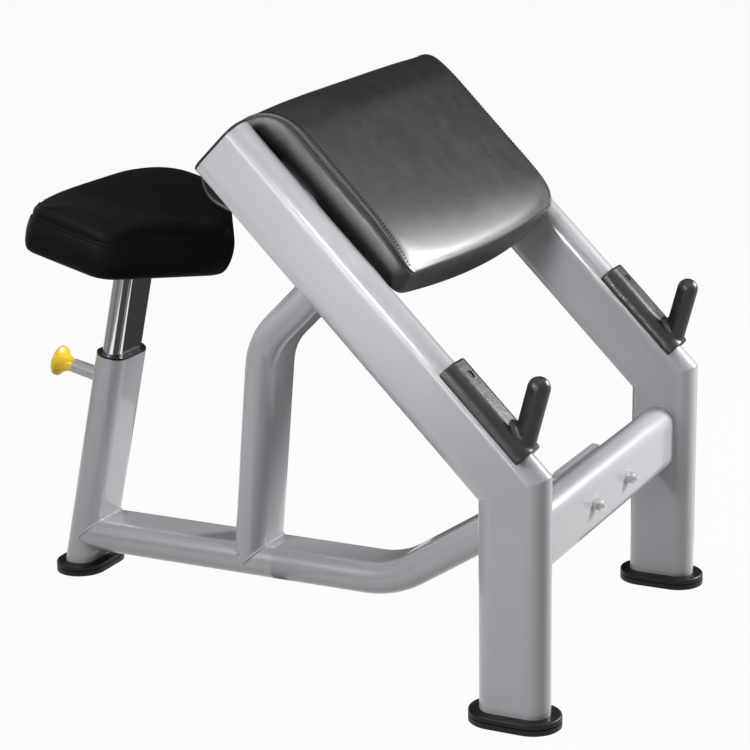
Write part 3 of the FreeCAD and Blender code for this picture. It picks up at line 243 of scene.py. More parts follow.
def plywood_material():
    nodes = Nodes("plywood", (0.42, 0.29, 0.17), 0.7)
    rings = nodes.add("ShaderNodeTexWave", vector=nodes.place, scale=14, distortion=6, detail=3)
    nodes.color(nodes.ramp(rings.outputs["Fac"], (0.36, 0.24, 0.13), (0.5, 0.36, 0.22)))
    nodes.bump(rings.outputs["Fac"], 0.0004, 0.3)
    return nodes.material


def knob_material():
    """Yellow moulded knob: gloss plastic with a faint mottle."""
    nodes = Nodes("yellow_plastic", (0.95, 0.62, 0.03), 0.28)
    nodes.color(nodes.ramp(nodes.noise(40, 3), (0.98, 0.66, 0.03), (1.0, 0.75, 0.05), 0.35, 0.65))
    nodes.bump(nodes.noise(500, 2), 0.0002, 0.12)
    return nodes.material


def thread_material():
    """Black sewing thread with a twist."""
    nodes = Nodes("sewing_thread", (0.004, 0.004, 0.004), 0.7, sockets={"Specular IOR Level": 0.1})
    twist = nodes.add("ShaderNodeTexWave", vector=nodes.place, scale=900, distortion=1)
    nodes.bump(twist.outputs["Fac"], 0.0001, 0.4)
    return nodes.material


# The vinyls of the seat and of the roll's ends are duller than the arm pad's; the roll's ends get a darker,
# duller copy of the pad's own vinyl as painted shade where the arms shade them
SEAT_VINYL = vinyl_material("dull_black_vinyl", (0.005, 0.005, 0.0052), 0.06, 0.5, 0.38)
ROLL_SHADE_VINYL = vinyl_material("roll_shade_vinyl", (0.006, 0.006, 0.0062), 0.18, 0.46, 0.38)

THREAD = thread_material()

# Materials by the record's slots
MATERIALS = {
    "frame_paint": paint_material(),
    "black_plastic": plastic_material(),
    "hook_plastic": hook_material(),
    "black_steel": black_steel_material(),
    "zinc_steel": zinc_material(),
    "foot_rubber": rubber_material(),
    "plywood": plywood_material(),
    "vinyl": vinyl_material("black_vinyl", (0.01, 0.01, 0.0104), 0.5, 0.4, 0.34),
    "post_chrome": chrome_material(),
    "knob_plastic": knob_material(),
}


def dress_nodes():
    """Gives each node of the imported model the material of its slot."""
    for entry in frame["record"]["subparts"]:
        mesh = frame["nodes"][entry["node"]].data
        mesh.materials.clear()
        mesh.materials.append(MATERIALS[entry["material_slot"]])


def slope(across, up, out):
    """A point given in millimetres of the arms' slope frame."""
    return SLOPE @ (Vector((across, up, out)) * MM)


def sleeve(across, rear, up):
    """A point given in millimetres of the seat's sleeve frame."""
    return SLEEVE @ (Vector((across, rear, up)) * MM)


class Cover:
    """A vinyl cover under construction.

    It keeps points, faces, points held in place, the seams' edges and the faces of duller, darker vinyl that
    paints shade.
    """

    def __init__(self):
        self.points = []
        self.faces = []
        self.held = []
        self.seams = []
        self.dull = set()

    def row(self, places, held=False):
        start = len(self.points)
        self.points.extend(places)
        indices = list(range(start, len(self.points)))
        if held:
            self.held.extend(indices)
        return indices

    def skin(self, first, second, closed=False):
        """Faces between two rows of equal length."""
        pairs = list(zip(first, second))
        ends = pairs[1:] + pairs[:1] if closed else pairs[1:]
        for (a, b), (d, c) in zip(pairs, ends):
            self.faces.append((a, b, c, d))

    def seam(self, row, closed=False):
        self.held.extend(row)
        self.seams.extend(zip(row, row[1:] + row[:1] if closed else row[1:]))

    def piece(self, name):
        mesh = bpy.data.meshes.new(name)
        build = bmesh.new()
        points = [build.verts.new(place) for place in self.points]
        for index, face in enumerate(self.faces):
            made = build.faces.new([points[corner] for corner in face])
            # Faces in dull take the second material, the darker vinyl of painted shade
            made.material_index = int(index in self.dull)
        bmesh.ops.recalc_face_normals(build, faces=build.faces)
        crease = build.edges.layers.float.new("crease_edge")
        for first, second in self.seams:
            edge = build.edges.get((points[first], points[second]))
            edge[crease] = SEAM_CREASE
        build.to_mesh(mesh)
        build.free()
        piece = bpy.data.objects.new(name, mesh)
        bpy.context.scene.collection.objects.link(piece)
        return piece


def smoothed(moves, edges, held):
    """Moves averaged with their neighbours', so that the foam under the vinyl shows and no crumple does."""
    for _ in range(PUFF_SMOOTHING):
        sums = [move.copy() for move in moves]
        counts = [1] * len(moves)
        for edge in edges:
            first, second = edge.vertices
            sums[first] += moves[second]
            sums[second] += moves[first]
            counts[first] += 1
            counts[second] += 1
        moves = [moves[index] if index in held else total / count
                 for index, (total, count) in enumerate(zip(sums, counts))]
    return moves


def puff(piece, held):
    """Blows the cover up like vinyl over foam: seams stay, and other points move by PUFF_REACH at most."""
    group = piece.vertex_groups.new(name="held")
    group.add(held, 1.0, "REPLACE")
    cloth = piece.modifiers.new("cloth", "CLOTH")
    cloth.settings.vertex_group_mass = "held"
    cloth.settings.use_pressure = True
    cloth.settings.uniform_pressure_force = PUFF_PRESSURE
    cloth.settings.effector_weights.gravity = 0
    cloth.point_cache.frame_start = 1
    cloth.point_cache.frame_end = PUFF_FRAMES
    for step in range(1, PUFF_FRAMES + 1):
        bpy.context.scene.frame_set(step)
    blown = piece.evaluated_get(bpy.context.evaluated_depsgraph_get()).data
    moves = [after.co - before.co for before, after in zip(piece.data.vertices, blown.vertices)]
    piece.modifiers.remove(cloth)
    bpy.context.scene.frame_set(1)
    moves = smoothed(moves, piece.data.edges, set(held))
    for point, move in zip(piece.data.vertices, moves):
        point.co += move * min(1, PUFF_REACH / max(move.length, PUFF_LEAST_MOVE))


def soften(piece):
    """One subdivision, kept in the mesh. The first points stay in their order."""
    smooth = piece.modifiers.new("smooth", "SUBSURF")
    smooth.levels = 1
    smooth.render_levels = 1
    evaluated = piece.evaluated_get(bpy.context.evaluated_depsgraph_get())
    mesh = bpy.data.meshes.new_from_object(evaluated)
    piece.modifiers.remove(smooth)
    piece.data = mesh
    mesh.shade_smooth()


def finish_cushion(cover, name, node, body, materials):
    """The cover as a finished piece that stands for a cushion's node."""
    piece = cover.piece(name)
    puff(piece, cover.held)
    soften(piece)
    for material in materials:
        piece.data.materials.append(material)
    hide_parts(node)
    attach(piece, body)
    return piece


def add_piece(name, points, faces, material, body):
    mesh = bpy.data.meshes.new(name)
    mesh.from_pydata(points, [], faces)
    mesh.materials.append(material)
    mesh.shade_smooth()
    piece = bpy.data.objects.new(name, mesh)
    bpy.context.scene.collection.objects.link(piece)
    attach(piece, body)
    return piece


def evenly(places, pitch):
    """Points at an even pitch along a line of points."""
    places = np.array([tuple(place) for place in places])
    run = np.concatenate([[0], np.cumsum(np.linalg.norm(np.diff(places, axis=0), axis=1))])
    stations = np.arange(pitch / 2, run[-1], pitch)
    return [Vector([np.interp(station, run, places[:, axis]) for axis in range(3)]) for station in stations]


def tube_faces(start, rings, sides):
    """Faces of a tube whose points were added ring by ring."""
    faces = []
    for ring in range(rings - 1):
        for turn in range(sides):
            a = start + ring * sides + turn
            b = start + ring * sides + (turn + 1) % sides
            faces.append((a, b, b + sides, a + sides))
    return faces


def sew(name, piece, row, body):
    """A row of stitches along points of a finished cover."""
    vertices = piece.data.vertices
    spots = evenly([vertices[index].co for index in row], STITCH_PITCH)
    points = []
    faces = []
    for index in range(1, len(spots) - 1):
        way = (spots[index + 1] - spots[index - 1]).normalized()
        nearest = min(row, key=lambda vertex: (vertices[vertex].co - spots[index]).length)
        out = vertices[nearest].normal
        side = way.cross(out).normalized()
        faces.extend(tube_faces(len(points), len(STITCH_SHARES), STITCH_SIDES))
        for share, width_share, lift_share in STITCH_SHARES:
            middle = spots[index] + way * share * STITCH_LENGTH + out * lift_share * STITCH_WIDTH
            for turn in range(STITCH_SIDES):
                angle = 2 * math.pi * turn / STITCH_SIDES
                reach = width_share * STITCH_WIDTH / 2
                points.append(middle + side * math.cos(angle) * reach + out * math.sin(angle) * reach)
    return add_piece(name, points, faces, THREAD, body)


def groove(inset, line):
    """How deep the stitches along a line pull the vinyl in, at an inset from the seam."""
    return GROOVE_DEPTH * math.exp(-((inset - line) / GROOVE_WIDTH) ** 2)


def rounding(distance, radius):
    """Height share of a round edge, from nothing at the seam to all at its radius."""
    return math.sqrt(1 - (1 - min(distance / radius, 1)) ** 2)


# Arm pad, in millimetres of the slope frame. A station is a run along the pad's bent middle line,
# and a column a place across it, from -1 at the left seam to 1 at the right one
PAD_HALF_WIDTH = 316
PAD_FRONT = 366
PAD_BOW = 18
PAD_BOW_RUN = 240
PAD_FRONT_LINE = PAD_FRONT + PAD_BOW
PAD_CORNER = 22
PAD_FAR_CORNER = 42

# The top panel's sunk seam, its edge and its crown
PAD_SEAM_SUNK = 5
PAD_SEAM_INSET = 6
PAD_SEAM_HALF = PAD_HALF_WIDTH - PAD_SEAM_INSET
PAD_SEAM_OUT = 33.5
PAD_EDGE_RISE = 2.5
PAD_EDGE_RADIUS = 3
PAD_FRONT_EDGE_RADIUS = 2.5
PAD_CROWN = 9
PAD_CROWN_POWER = 3
PAD_STITCH_INSET = 8

# How the seam falls to the front, less on the far side, and rises to the back, more on the far side
PAD_FRONT_FALL = 13
PAD_FRONT_FALL_RUN = 120
PAD_FAR_FALL_SHARE = 0.7
PAD_FAR_FALL_RUN_SHARE = 0.5
PAD_BACK_RISE = 5
PAD_BACK_RISE_RUN = 350
PAD_FAR_PEAK = 16
PAD_PEAK_POWER = 5

# The side and front panels, and the row and depth of the standing seams at the front corners
PAD_BASE = -20
PAD_DRAWN_IN = 6
PAD_FRONT_LEAN = 8
PAD_CORNER_SEAM_ROW = 3
PAD_STANDING_SEAM_SUNK = 2.5

# The bend over the arms' upper end: shoulder, chest, the roll under it, and stations where each ends
PAD_SHOULDER = 680
PAD_SHOULDER_DROP = 40
PAD_CHEST_RUN = 75
PAD_ROLL_TURN = 10
PAD_ROLL_ANGLE = math.radians(114)
PAD_END_RUN = 31
PAD_ROLL_FACE = 660
PAD_SHOULDER_END = PAD_SHOULDER + PAD_SHOULDER_DROP * math.pi / 2
PAD_CHEST_END = PAD_SHOULDER_END + PAD_CHEST_RUN
PAD_ROLL_END = PAD_CHEST_END + PAD_ROLL_TURN * PAD_ROLL_ANGLE
PAD_END = PAD_ROLL_END + PAD_END_RUN

# Runs of the rows behind the front edge and of the columns beside a seam, then counts of the others
PAD_FRONT_RUNS = (0, 1.5, 4, PAD_STITCH_INSET, 14, 24, 40)
PAD_TOP_RUN = 54
PAD_EDGE_RUNS = (0, 1.5, 4, PAD_STITCH_INSET, 14, 23)
PAD_MIDDLE_COLUMNS = 44
PAD_TOP_ROWS = 20
PAD_SHOULDER_ROWS = 12
PAD_CHEST_ROWS = 7
PAD_ROLL_ROWS = 10
PAD_END_ROWS = 4

# The side panel's inner edge: where it leaves the base, turns down, and its heights down the chest
PAD_INNER_START = PAD_SHOULDER - 45
PAD_INNER_TURN = PAD_SHOULDER + 8
PAD_INNER_SHOULDER = -46
PAD_INNER_CHEST = -118
PAD_INNER_END = -138
PAD_INNER_LEAN = 2

# Hidden rims: how far inward and the share back up, then places up and out behind the roll's end
PAD_RIM_SHARES = ((7, 0.0), (14, 0.04))
PAD_END_RIMS = ((PAD_ROLL_FACE + 0.5, -142), (PAD_ROLL_FACE + 2, -128))
PAD_END_INSET = 4

# Rows down the side panel: the share of its height, how far it stands out and how far it is lifted
PAD_WALL_SHARES = ((0.01, 2.5, 3), (0.025, 5, 4.8), (0.05, 7, 5), (0.085, 8.5, 4), (0.14, 9.8, 1.6),
                   (0.26, 10.6, 0), (0.45, 10.4, 0), (0.64, 9, 0), (0.82, 5.5, 0), (0.94, 2, 0), (1, 0, 0))


def pad_line(station):
    """A point of the pad's bent middle line and the way out of it, as (up, out) pairs."""
    station -= PAD_SHOULDER
    if station <= 0:
        return (PAD_SHOULDER + station, 0), (0, 1)
    turn = station / PAD_SHOULDER_DROP
    if turn <= math.pi / 2:
        out = (math.sin(turn), math.cos(turn))
        return (PAD_SHOULDER + PAD_SHOULDER_DROP * out[0], PAD_SHOULDER_DROP * (out[1] - 1)), out
    station -= PAD_SHOULDER_DROP * math.pi / 2
    chest = PAD_SHOULDER + PAD_SHOULDER_DROP
    if station <= PAD_CHEST_RUN:
        return (chest, -PAD_SHOULDER_DROP - station), (1, 0)
    station -= PAD_CHEST_RUN
    turn = min(station / PAD_ROLL_TURN, PAD_ROLL_ANGLE)
    rest = station - turn * PAD_ROLL_TURN
    out = (math.cos(turn), -math.sin(turn))
    ahead = (out[1], -out[0])
    middle = (chest - PAD_ROLL_TURN, -PAD_SHOULDER_DROP - PAD_CHEST_RUN)
    return (middle[0] + PAD_ROLL_TURN * out[0] + rest * ahead[0],
            middle[1] + PAD_ROLL_TURN * out[1] + rest * ahead[1]), out


def pad_point(across, station, out):
    place, way = pad_line(station)
    return slope(across, place[0] + out * way[0], place[1] + out * way[1])


def peak_share(station):
    """How square the shoulder's bend stands: nothing at its ends, and one half-way round it."""
    turn = min(max(station - PAD_SHOULDER, 0) / PAD_SHOULDER_DROP, math.pi / 2)
    square = (math.cos(turn) ** PAD_PEAK_POWER + math.sin(turn) ** PAD_PEAK_POWER) ** (-1 / PAD_PEAK_POWER)
    return (square - 1) / (2 ** (0.5 - 1 / PAD_PEAK_POWER) - 1)


def seam_out(station, column):
    """How far the seam stands out: lower along the falling front, higher on the shoulder's far end."""
    far = (1 + column) / 2
    fall = PAD_FRONT_FALL * (1 + (PAD_FAR_FALL_SHARE - 1) * far)
    fall_run = PAD_FRONT_FALL_RUN * (1 + (PAD_FAR_FALL_RUN_SHARE - 1) * far)
    ahead = max(PAD_FRONT_LINE + fall_run - station, 0) / fall_run
    behind = min(max(station - PAD_SHOULDER_END + PAD_BACK_RISE_RUN, 0) / PAD_BACK_RISE_RUN, 1)
    peak = PAD_FAR_PEAK * far ** 2 * peak_share(station)
    return PAD_SEAM_OUT - fall * ahead ** 2 + PAD_BACK_RISE * behind + peak


def pad_inside(station):
    """The side panel's inner edge: along the pad's base, round its inner corner and down the chest."""
    edge = (
        (PAD_FRONT, PAD_FRONT, PAD_BASE),
        (PAD_INNER_START, PAD_INNER_START, PAD_BASE),
        (PAD_INNER_TURN, PAD_ROLL_FACE, PAD_BASE),
        (PAD_SHOULDER_END, PAD_ROLL_FACE, PAD_INNER_SHOULDER),
        (PAD_CHEST_END, PAD_ROLL_FACE, PAD_INNER_CHEST),
        (PAD_END, PAD_ROLL_FACE + PAD_INNER_LEAN, PAD_INNER_END),
    )
    stations, up, out = zip(*edge)
    return float(np.interp(station, stations, up)), float(np.interp(station, stations, out))


def pad_stations():
    """Stations of the top panel's rows, close together beside the front edge."""
    spans = (
        (PAD_FRONT_LINE + PAD_TOP_RUN, PAD_SHOULDER, PAD_TOP_ROWS),
        (PAD_SHOULDER, PAD_SHOULDER_END, PAD_SHOULDER_ROWS),
        (PAD_SHOULDER_END, PAD_CHEST_END, PAD_CHEST_ROWS),
        (PAD_CHEST_END, PAD_ROLL_END, PAD_ROLL_ROWS),
        (PAD_ROLL_END, PAD_END, PAD_END_ROWS),
    )
    rows = [PAD_FRONT_LINE + run for run in PAD_FRONT_RUNS]
    for index, (start, stop, count) in enumerate(spans):
        rows.extend(np.linspace(start, stop, count, endpoint=index == len(spans) - 1))
    return [float(row) for row in rows]


def pad_columns():
    """Places across the pad, from -1 to 1, close together beside the seams."""
    left = [run / PAD_SEAM_HALF - 1 for run in PAD_EDGE_RUNS]
    inner = np.linspace(left[-1], -left[-1], PAD_MIDDLE_COLUMNS)[1:-1]
    return left + [float(place) for place in inner] + [-place for place in reversed(left)]


def corner_radius(column):
    """The far front corner is rounder than the near one."""
    return PAD_CORNER if column <= 0 else PAD_FAR_CORNER


def front_share(run, column):
    """One at the pad's front edge, falling to nothing where a round corner meets the side."""
    return max(corner_radius(column) - run, 0) / corner_radius(column)


def pad_side(run, column):
    """Half the pad's width at a run behind its front edge."""
    radius = corner_radius(column)
    return PAD_SEAM_HALF - radius * (1 - math.sqrt(1 - front_share(run, column) ** 2))


def pad_bow(run, column):
    """How far the front edge stands forward in its middle, fading up the pad."""
    return PAD_BOW * (1 - column ** 2) * max(0, 1 - run / PAD_BOW_RUN) ** 2


def pad_top(cover, stations, columns):
    """The crowned top panel, over the shoulder and down to the roll's end, as its rows of points."""
    rows = []
    for station in stations:
        run = station - PAD_FRONT_LINE
        places = []
        for column in columns:
            side = pad_side(run, column)
            inset = side * (1 - abs(column))
            sunk = PAD_SEAM_SUNK * (1 - front_share(run, column)) if inset == 0 else 0
            edge = rounding(inset, PAD_EDGE_RADIUS) * rounding(run, PAD_FRONT_EDGE_RADIUS)
            crown = PAD_EDGE_RISE + PAD_CROWN * (1 - abs(column) ** PAD_CROWN_POWER)
            rise = seam_out(station, column) + (crown - groove(inset, PAD_STITCH_INSET)) * edge - sunk
            across = side * column - math.copysign(sunk, column)
            places.append(pad_point(across, station - pad_bow(run, column), rise))
        rows.append(cover.row(places))
    for first, second in zip(rows, rows[1:]):
        cover.skin(first, second)
    return rows


def pad_foot(column, station):
    """The inner edge under a spot of the seam, the way out there and how far that faces the front."""
    run = station - PAD_FRONT_LINE
    front = front_share(run, column)
    way = Vector((column * math.sqrt(1 - front ** 2), -front, 0))
    up, out = pad_inside(station - pad_bow(run, column))
    reach = PAD_SEAM_INSET - PAD_DRAWN_IN + PAD_FRONT_LEAN * front
    place = slope(pad_side(run, column) * column + way.x * reach, up + way.y * reach, out)
    return place, SLOPE.to_3x3() @ way, front


def pad_feet(stations, columns):
    """Feet under the whole seam: down the left side, along the front and up the right side."""
    left = [(-1, station) for station in reversed(stations)]
    front = [(column, PAD_FRONT_LINE) for column in columns[1:-1]]
    right = [(1, station) for station in stations]
    return [pad_foot(column, station) for column, station in left + front + right]


def pad_wall(cover, chain, feet, standing_spots, roll_spots):
    """The side and front panels from the seam down to their inner edge, with sunk standing seams.

    Beyond the two roll spots the wall is the dull end of the chest's roll, in a darker vinyl that paints the
    shade under the arms.
    """
    upper = [cover.points[index] for index in chain]
    standing = [[chain[spot]] for spot in standing_spots]
    last = chain
    for share, out, lift in PAD_WALL_SHARES:
        places = []
        for top, (foot, way, front) in zip(upper, feet):
            bead = way * out + (top - foot).normalized() * lift
            places.append(top.lerp(foot, share) + bead * (1 - front) * MM)
        for spot in standing_spots:
            places[spot] -= feet[spot][1] * PAD_STANDING_SEAM_SUNK * math.sin(math.pi * share) * MM
        wall = cover.row(places, held=share == 1)
        for line, spot in zip(standing, standing_spots):
            line.append(wall[spot])
        first_face = len(cover.faces)
        cover.skin(last, wall)
        # Wall faces beyond the roll spots take the darker vinyl: painted shade under the arms
        for spot in range(len(chain) - 1):
            if not roll_spots[0] <= spot < roll_spots[1]:
                cover.dull.add(first_face + spot)
        last = wall
    for line in standing:
        cover.seam(line)
    return last


def pad_rims(cover, chain, feet, wall, end, columns):
    """Hidden rims that turn the cover in under the pad and behind the roll's end."""
    upper = [cover.points[index] for index in chain]
    for inward, rise_share in PAD_RIM_SHARES:
        places = [foot.lerp(top, rise_share) - way * inward * MM for top, (foot, way, _) in zip(upper, feet)]
        rim = cover.row(places, held=True)
        cover.skin(wall, rim)
        wall = rim
    half = PAD_SEAM_HALF - PAD_END_INSET
    for up, out in PAD_END_RIMS:
        rim = cover.row([slope(column * half, up, out) for column in columns], held=True)
        cover.skin(end, rim)
        end = rim


def arm_pad():
    """The arm pad's cover: a top panel, a wall of side and front panels, and two rows of stitches."""
    cover = Cover()
    columns = pad_columns()
    stations = pad_stations()
    rows = pad_top(cover, stations, columns)
    chain = [row[0] for row in reversed(rows)] + rows[0][1:-1] + [row[-1] for row in rows]
    cover.seam(chain)
    feet = pad_feet(stations, columns)
    shoulder_row = stations.index(PAD_SHOULDER_END)
    corner_spots = [chain.index(rows[PAD_CORNER_SEAM_ROW][side]) for side in (0, -1)]
    roll_spots = [chain.index(rows[shoulder_row][side]) for side in (0, -1)]
    wall = pad_wall(cover, chain, feet, corner_spots + roll_spots, roll_spots)
    pad_rims(cover, chain, feet, wall, rows[-1], columns)
    # The second material, darker and duller, paints the shade on the roll's ends under the arms
    materials = (MATERIALS["vinyl"], ROLL_SHADE_VINYL)
    piece = finish_cushion(cover, "arm_pad_cover", "arm_pad_cushion", "frame", materials)
    stitched_rows = rows[stations.index(PAD_FRONT_LINE + PAD_STITCH_INSET):]
    left = columns.index(PAD_STITCH_INSET / PAD_SEAM_HALF - 1)
    for name, column in (("left", left), ("right", len(columns) - 1 - left)):
        sew(f"arm_pad_stitches_{name}", piece, [row[column] for row in stitched_rows], "frame")


# Seat, in millimetres of the sleeve frame: across, to the rear and up. Its corners: across, rear and radius
SEAT_CORNERS = ((-201, 123, 36), (-219, -60, 46), (0, -196, 60), (219, -60, 46), (201, 123, 36))
SEAT_BASE = 629
SEAT_SEAM = 692
SEAT_SEAM_SUNK = 3
SEAT_LEAST_RISE = 4
SEAT_MIDDLE = Vector((0, -10))
SEAT_MIDDLE_REACH = 175
SEAT_EDGE_RADIUS = 24
SEAT_REAR_EDGE_RADIUS = 9
SEAT_REAR_EDGE_START = 20
SEAT_REAR_EDGE_RUN = 80
SEAT_BULGE = 5
SEAT_BULGE_SHARE = 0.5
SEAT_DRAWN_IN = 6
SEAT_DRAWN_IN_POWER = 8
SEAT_NOSE_DRAWN_IN = 8
SEAT_NOSE_POWER = 1.5
SEAT_NOSE_START = 90
SEAT_NOSE_RUN = 90
SEAT_RIMS = ((14, -0.5), (20, 2))
SEAT_STITCH_INSET = 8
SEAT_INSETS = (0, 1.5, 4, SEAT_STITCH_INSET, 13, 20, 30, 43, 60, 80, 104, 130, 156)
SEAT_WALL_SHARES = (0.02, 0.06, 0.14, 0.28, 0.46, 0.64, 0.8, 0.92, 1)
SEAT_LINE_STEP = 9
SEAT_SIDE_STEP = 1.4 * SEAT_LINE_STEP
SEAT_LEAST_ROUND_STEPS = 4
SEAT_LEAST_SIDE_STEPS = 2

# The foam's top: its peak and where that lies, then the falls to the sides, the rear and the nose
SEAT_PEAK = 744
SEAT_PEAK_REAR = 10
SEAT_HALF_WIDTH = 222
SEAT_FALL_RUN = 200
SEAT_SIDE_FALL = 22
SEAT_SIDE_FALL_POWER = 4
SEAT_REAR_FALL = 92
SEAT_REAR_FALL_POWER = 2.1
SEAT_NOSE_FALL = 18
SEAT_NOSE_FALL_POWER = 1.3


def seat_corner(index):
    """A corner's place, the ways to its neighbours, half its angle and the setback of its round."""
    count = len(SEAT_CORNERS)
    corner, before, after = (Vector(SEAT_CORNERS[spot % count][:2]) for spot in (index, index - 1, index + 1))
    back = (before - corner).normalized()
    ahead = (after - corner).normalized()
    half = back.angle(ahead) / 2
    return corner, back, ahead, half, SEAT_CORNERS[index % count][2] / math.tan(half)


def seat_line():
    """The seat's outline from above: straight sides and round corners, at an even step."""
    line = []
    for index, (_, _, radius) in enumerate(SEAT_CORNERS):
        corner, back, ahead, half, setback = seat_corner(index)
        middle = corner + (back + ahead).normalized() * radius / math.sin(half)
        start = corner + back * setback - middle
        stop = corner + ahead * setback - middle
        turn = start.angle_signed(stop)
        steps = max(SEAT_LEAST_ROUND_STEPS, round(abs(turn) * radius / SEAT_LINE_STEP))
        for step in range(steps + 1):
            share = step / steps
            line.append(middle + Matrix.Rotation(-turn * share, 2) @ start)
        following, _, _, _, next_setback = seat_corner(index + 1)
        stretch = (following - corner).length - setback - next_setback
        steps = max(SEAT_LEAST_SIDE_STEPS, round(stretch / SEAT_SIDE_STEP))
        for step in range(1, steps):
            line.append(corner + ahead * (setback + stretch * step / steps))
    return line


def seat_ways(line):
    """The way out of the seat at each point of its outline."""
    ways = []
    for index in range(len(line)):
        along = (line[(index + 1) % len(line)] - line[index - 1]).normalized()
        ways.append(Vector((-along.y, along.x)))
    if ways[0].dot(line[0] - SEAT_MIDDLE) < 0:
        ways = [-way for way in ways]
    return ways


def seat_top(across, rear):
    """The foam's height: nearly flat across, falling to the rear and a little to the nose."""
    behind = max(rear - SEAT_PEAK_REAR, 0) / SEAT_FALL_RUN
    ahead = max(SEAT_PEAK_REAR - rear, 0) / SEAT_FALL_RUN
    side_fall = SEAT_SIDE_FALL * abs(across / SEAT_HALF_WIDTH) ** SEAT_SIDE_FALL_POWER
    rear_fall = SEAT_REAR_FALL * behind ** SEAT_REAR_FALL_POWER
    return SEAT_PEAK - side_fall - rear_fall - SEAT_NOSE_FALL * ahead ** SEAT_NOSE_FALL_POWER


def seat_edge_radius(rear):
    """The top panel's edge: round at the sides and the nose, tight along the rear."""
    share = min(max((rear - SEAT_REAR_EDGE_START) / SEAT_REAR_EDGE_RUN, 0), 1)
    return SEAT_EDGE_RADIUS + (SEAT_REAR_EDGE_RADIUS - SEAT_EDGE_RADIUS) * share


def nose_share(rear):
    """Nothing at the seat's sides, and one at its nose."""
    return min(max((-rear - SEAT_NOSE_START) / SEAT_NOSE_RUN, 0), 1)


def seat_rings(cover, line):
    """The crowned top panel, as rings from its seam to its middle."""
    rings = []
    for inset in SEAT_INSETS:
        sunk = SEAT_SEAM_SUNK if inset == 0 else 0
        places = []
        for spot in line:
            place = SEAT_MIDDLE + (spot - SEAT_MIDDLE) * (1 - (inset + sunk) / SEAT_MIDDLE_REACH)
            edge = rounding(inset, seat_edge_radius(spot.y))
            top = max(seat_top(*place), SEAT_SEAM + SEAT_LEAST_RISE)
            height = SEAT_SEAM + (top - SEAT_SEAM) * edge - groove(inset, SEAT_STITCH_INSET) - sunk
            places.append(sleeve(*place, height))
        rings.append(cover.row(places))
    for first, second in zip(rings, rings[1:]):
        cover.skin(first, second, closed=True)
    centre = cover.row([sleeve(*SEAT_MIDDLE, seat_top(*SEAT_MIDDLE))])[0]
    for first, second in zip(rings[-1], rings[-1][1:] + rings[-1][:1]):
        cover.faces.append((first, second, centre))
    cover.seam(rings[0], closed=True)
    return rings


def seat_wall(cover, line, seam):
    """The side panel, which bulges and is drawn in below, and its hidden rims under the seat."""
    ways = seat_ways(line)
    last = seam
    for share in SEAT_WALL_SHARES:
        bulge = SEAT_BULGE * math.sin(math.pi / 2 * min(share / SEAT_BULGE_SHARE, 1))
        bulge -= SEAT_DRAWN_IN * share ** SEAT_DRAWN_IN_POWER
        height = SEAT_SEAM + (SEAT_BASE - SEAT_SEAM) * share
        places = []
        for spot, way in zip(line, ways):
            out = bulge - SEAT_NOSE_DRAWN_IN * nose_share(spot.y) * share ** SEAT_NOSE_POWER
            places.append(sleeve(*(spot + way * out), height))
        wall = cover.row(places, held=share == 1)
        cover.skin(last, wall, closed=True)
        last = wall
    for inward, rise in SEAT_RIMS:
        places = []
        for spot, way in zip(line, ways):
            depth = inward + SEAT_NOSE_DRAWN_IN * nose_share(spot.y)
            places.append(sleeve(*(spot - way * depth), SEAT_BASE + rise))
        rim = cover.row(places, held=True)
        cover.skin(last, rim, closed=True)
        last = rim


def seat():
    """The seat's cover: a crowned top panel sewn to a drawn-in side panel."""
    cover = Cover()
    line = seat_line()
    rings = seat_rings(cover, line)
    seat_wall(cover, line, rings[0])
    piece = finish_cushion(cover, "seat_cover", "seat_cushion", "seat", (SEAT_VINYL,))
    stitched = rings[SEAT_INSETS.index(SEAT_STITCH_INSET)]
    sew("seat_stitches", piece, stitched + stitched[:1], "seat")


# Weld beads: the tube that ends and the one that it meets
WELDS = (
    ("front_crossbar", "left_leg_tube"),
    ("front_crossbar", "right_leg_tube"),
    ("upper_crossbar", "left_arm_tube"),
    ("upper_crossbar", "right_arm_tube"),
    ("base_tube", "seat_sleeve"),
    ("base_tube", "base_flange_plate"),
    ("strut_tube", "base_tube"),
    ("strut_tube", "upper_crossbar"),
    ("pin_housing", "seat_sleeve"),
)
WELD_TOUCH = 0.0004
WELD_RADIUS = 0.0033
WELD_RIPPLE = 0.0042
WELD_STEP = 0.0014
WELD_SIDES = 8
WELD_MERGE = 1e-6
WELD_SHARP_ANGLE = 0.35
WELD_LOW_SHARE = 0.84
WELD_RIPPLE_SHARE = 0.2


def joint_links(node, other):
    """A node's mesh, and the neighbours of each point on its sharp edges that lie on another node."""
    build = bmesh.new()
    build.from_mesh(frame["nodes"][node].data)
    bmesh.ops.remove_doubles(build, verts=build.verts, dist=WELD_MERGE)
    meets = bmesh.new()
    meets.from_mesh(frame["nodes"][other].data)
    tree = BVHTree.FromBMesh(meets)
    near = {point for point in build.verts if tree.find_nearest(point.co)[3] < WELD_TOUCH}
    links = {}
    for edge in build.edges:
        sharp = len(edge.link_faces) == 2 and edge.calc_face_angle(0) > WELD_SHARP_ANGLE
        if sharp and set(edge.verts) <= near:
            first, second = edge.verts
            links.setdefault(first, []).append(second)
            links.setdefault(second, []).append(first)
    meets.free()
    return build, links


def joint_line(node, other):
    """The longest chain of a node's sharp edges that lie on another node, from the same point each time."""
    build, links = joint_links(node, other)
    chains = []
    left = dict.fromkeys(links)
    while left:
        point = next(iter(left))
        del left[point]
        chain = [point]
        while True:
            following = next((other_end for other_end in links[point] if other_end in left), None)
            if following is None:
                break
            del left[following]
            chain.append(following)
            point = following
        closed = len(chain) > 2 and chain[0] in links[chain[-1]]
        places = [vertex.co.copy() for vertex in chain]
        chains.append(places + places[:1] if closed else places)
    build.free()
    return max(chains, key=lambda places: sum((b - a).length for a, b in zip(places, places[1:])))


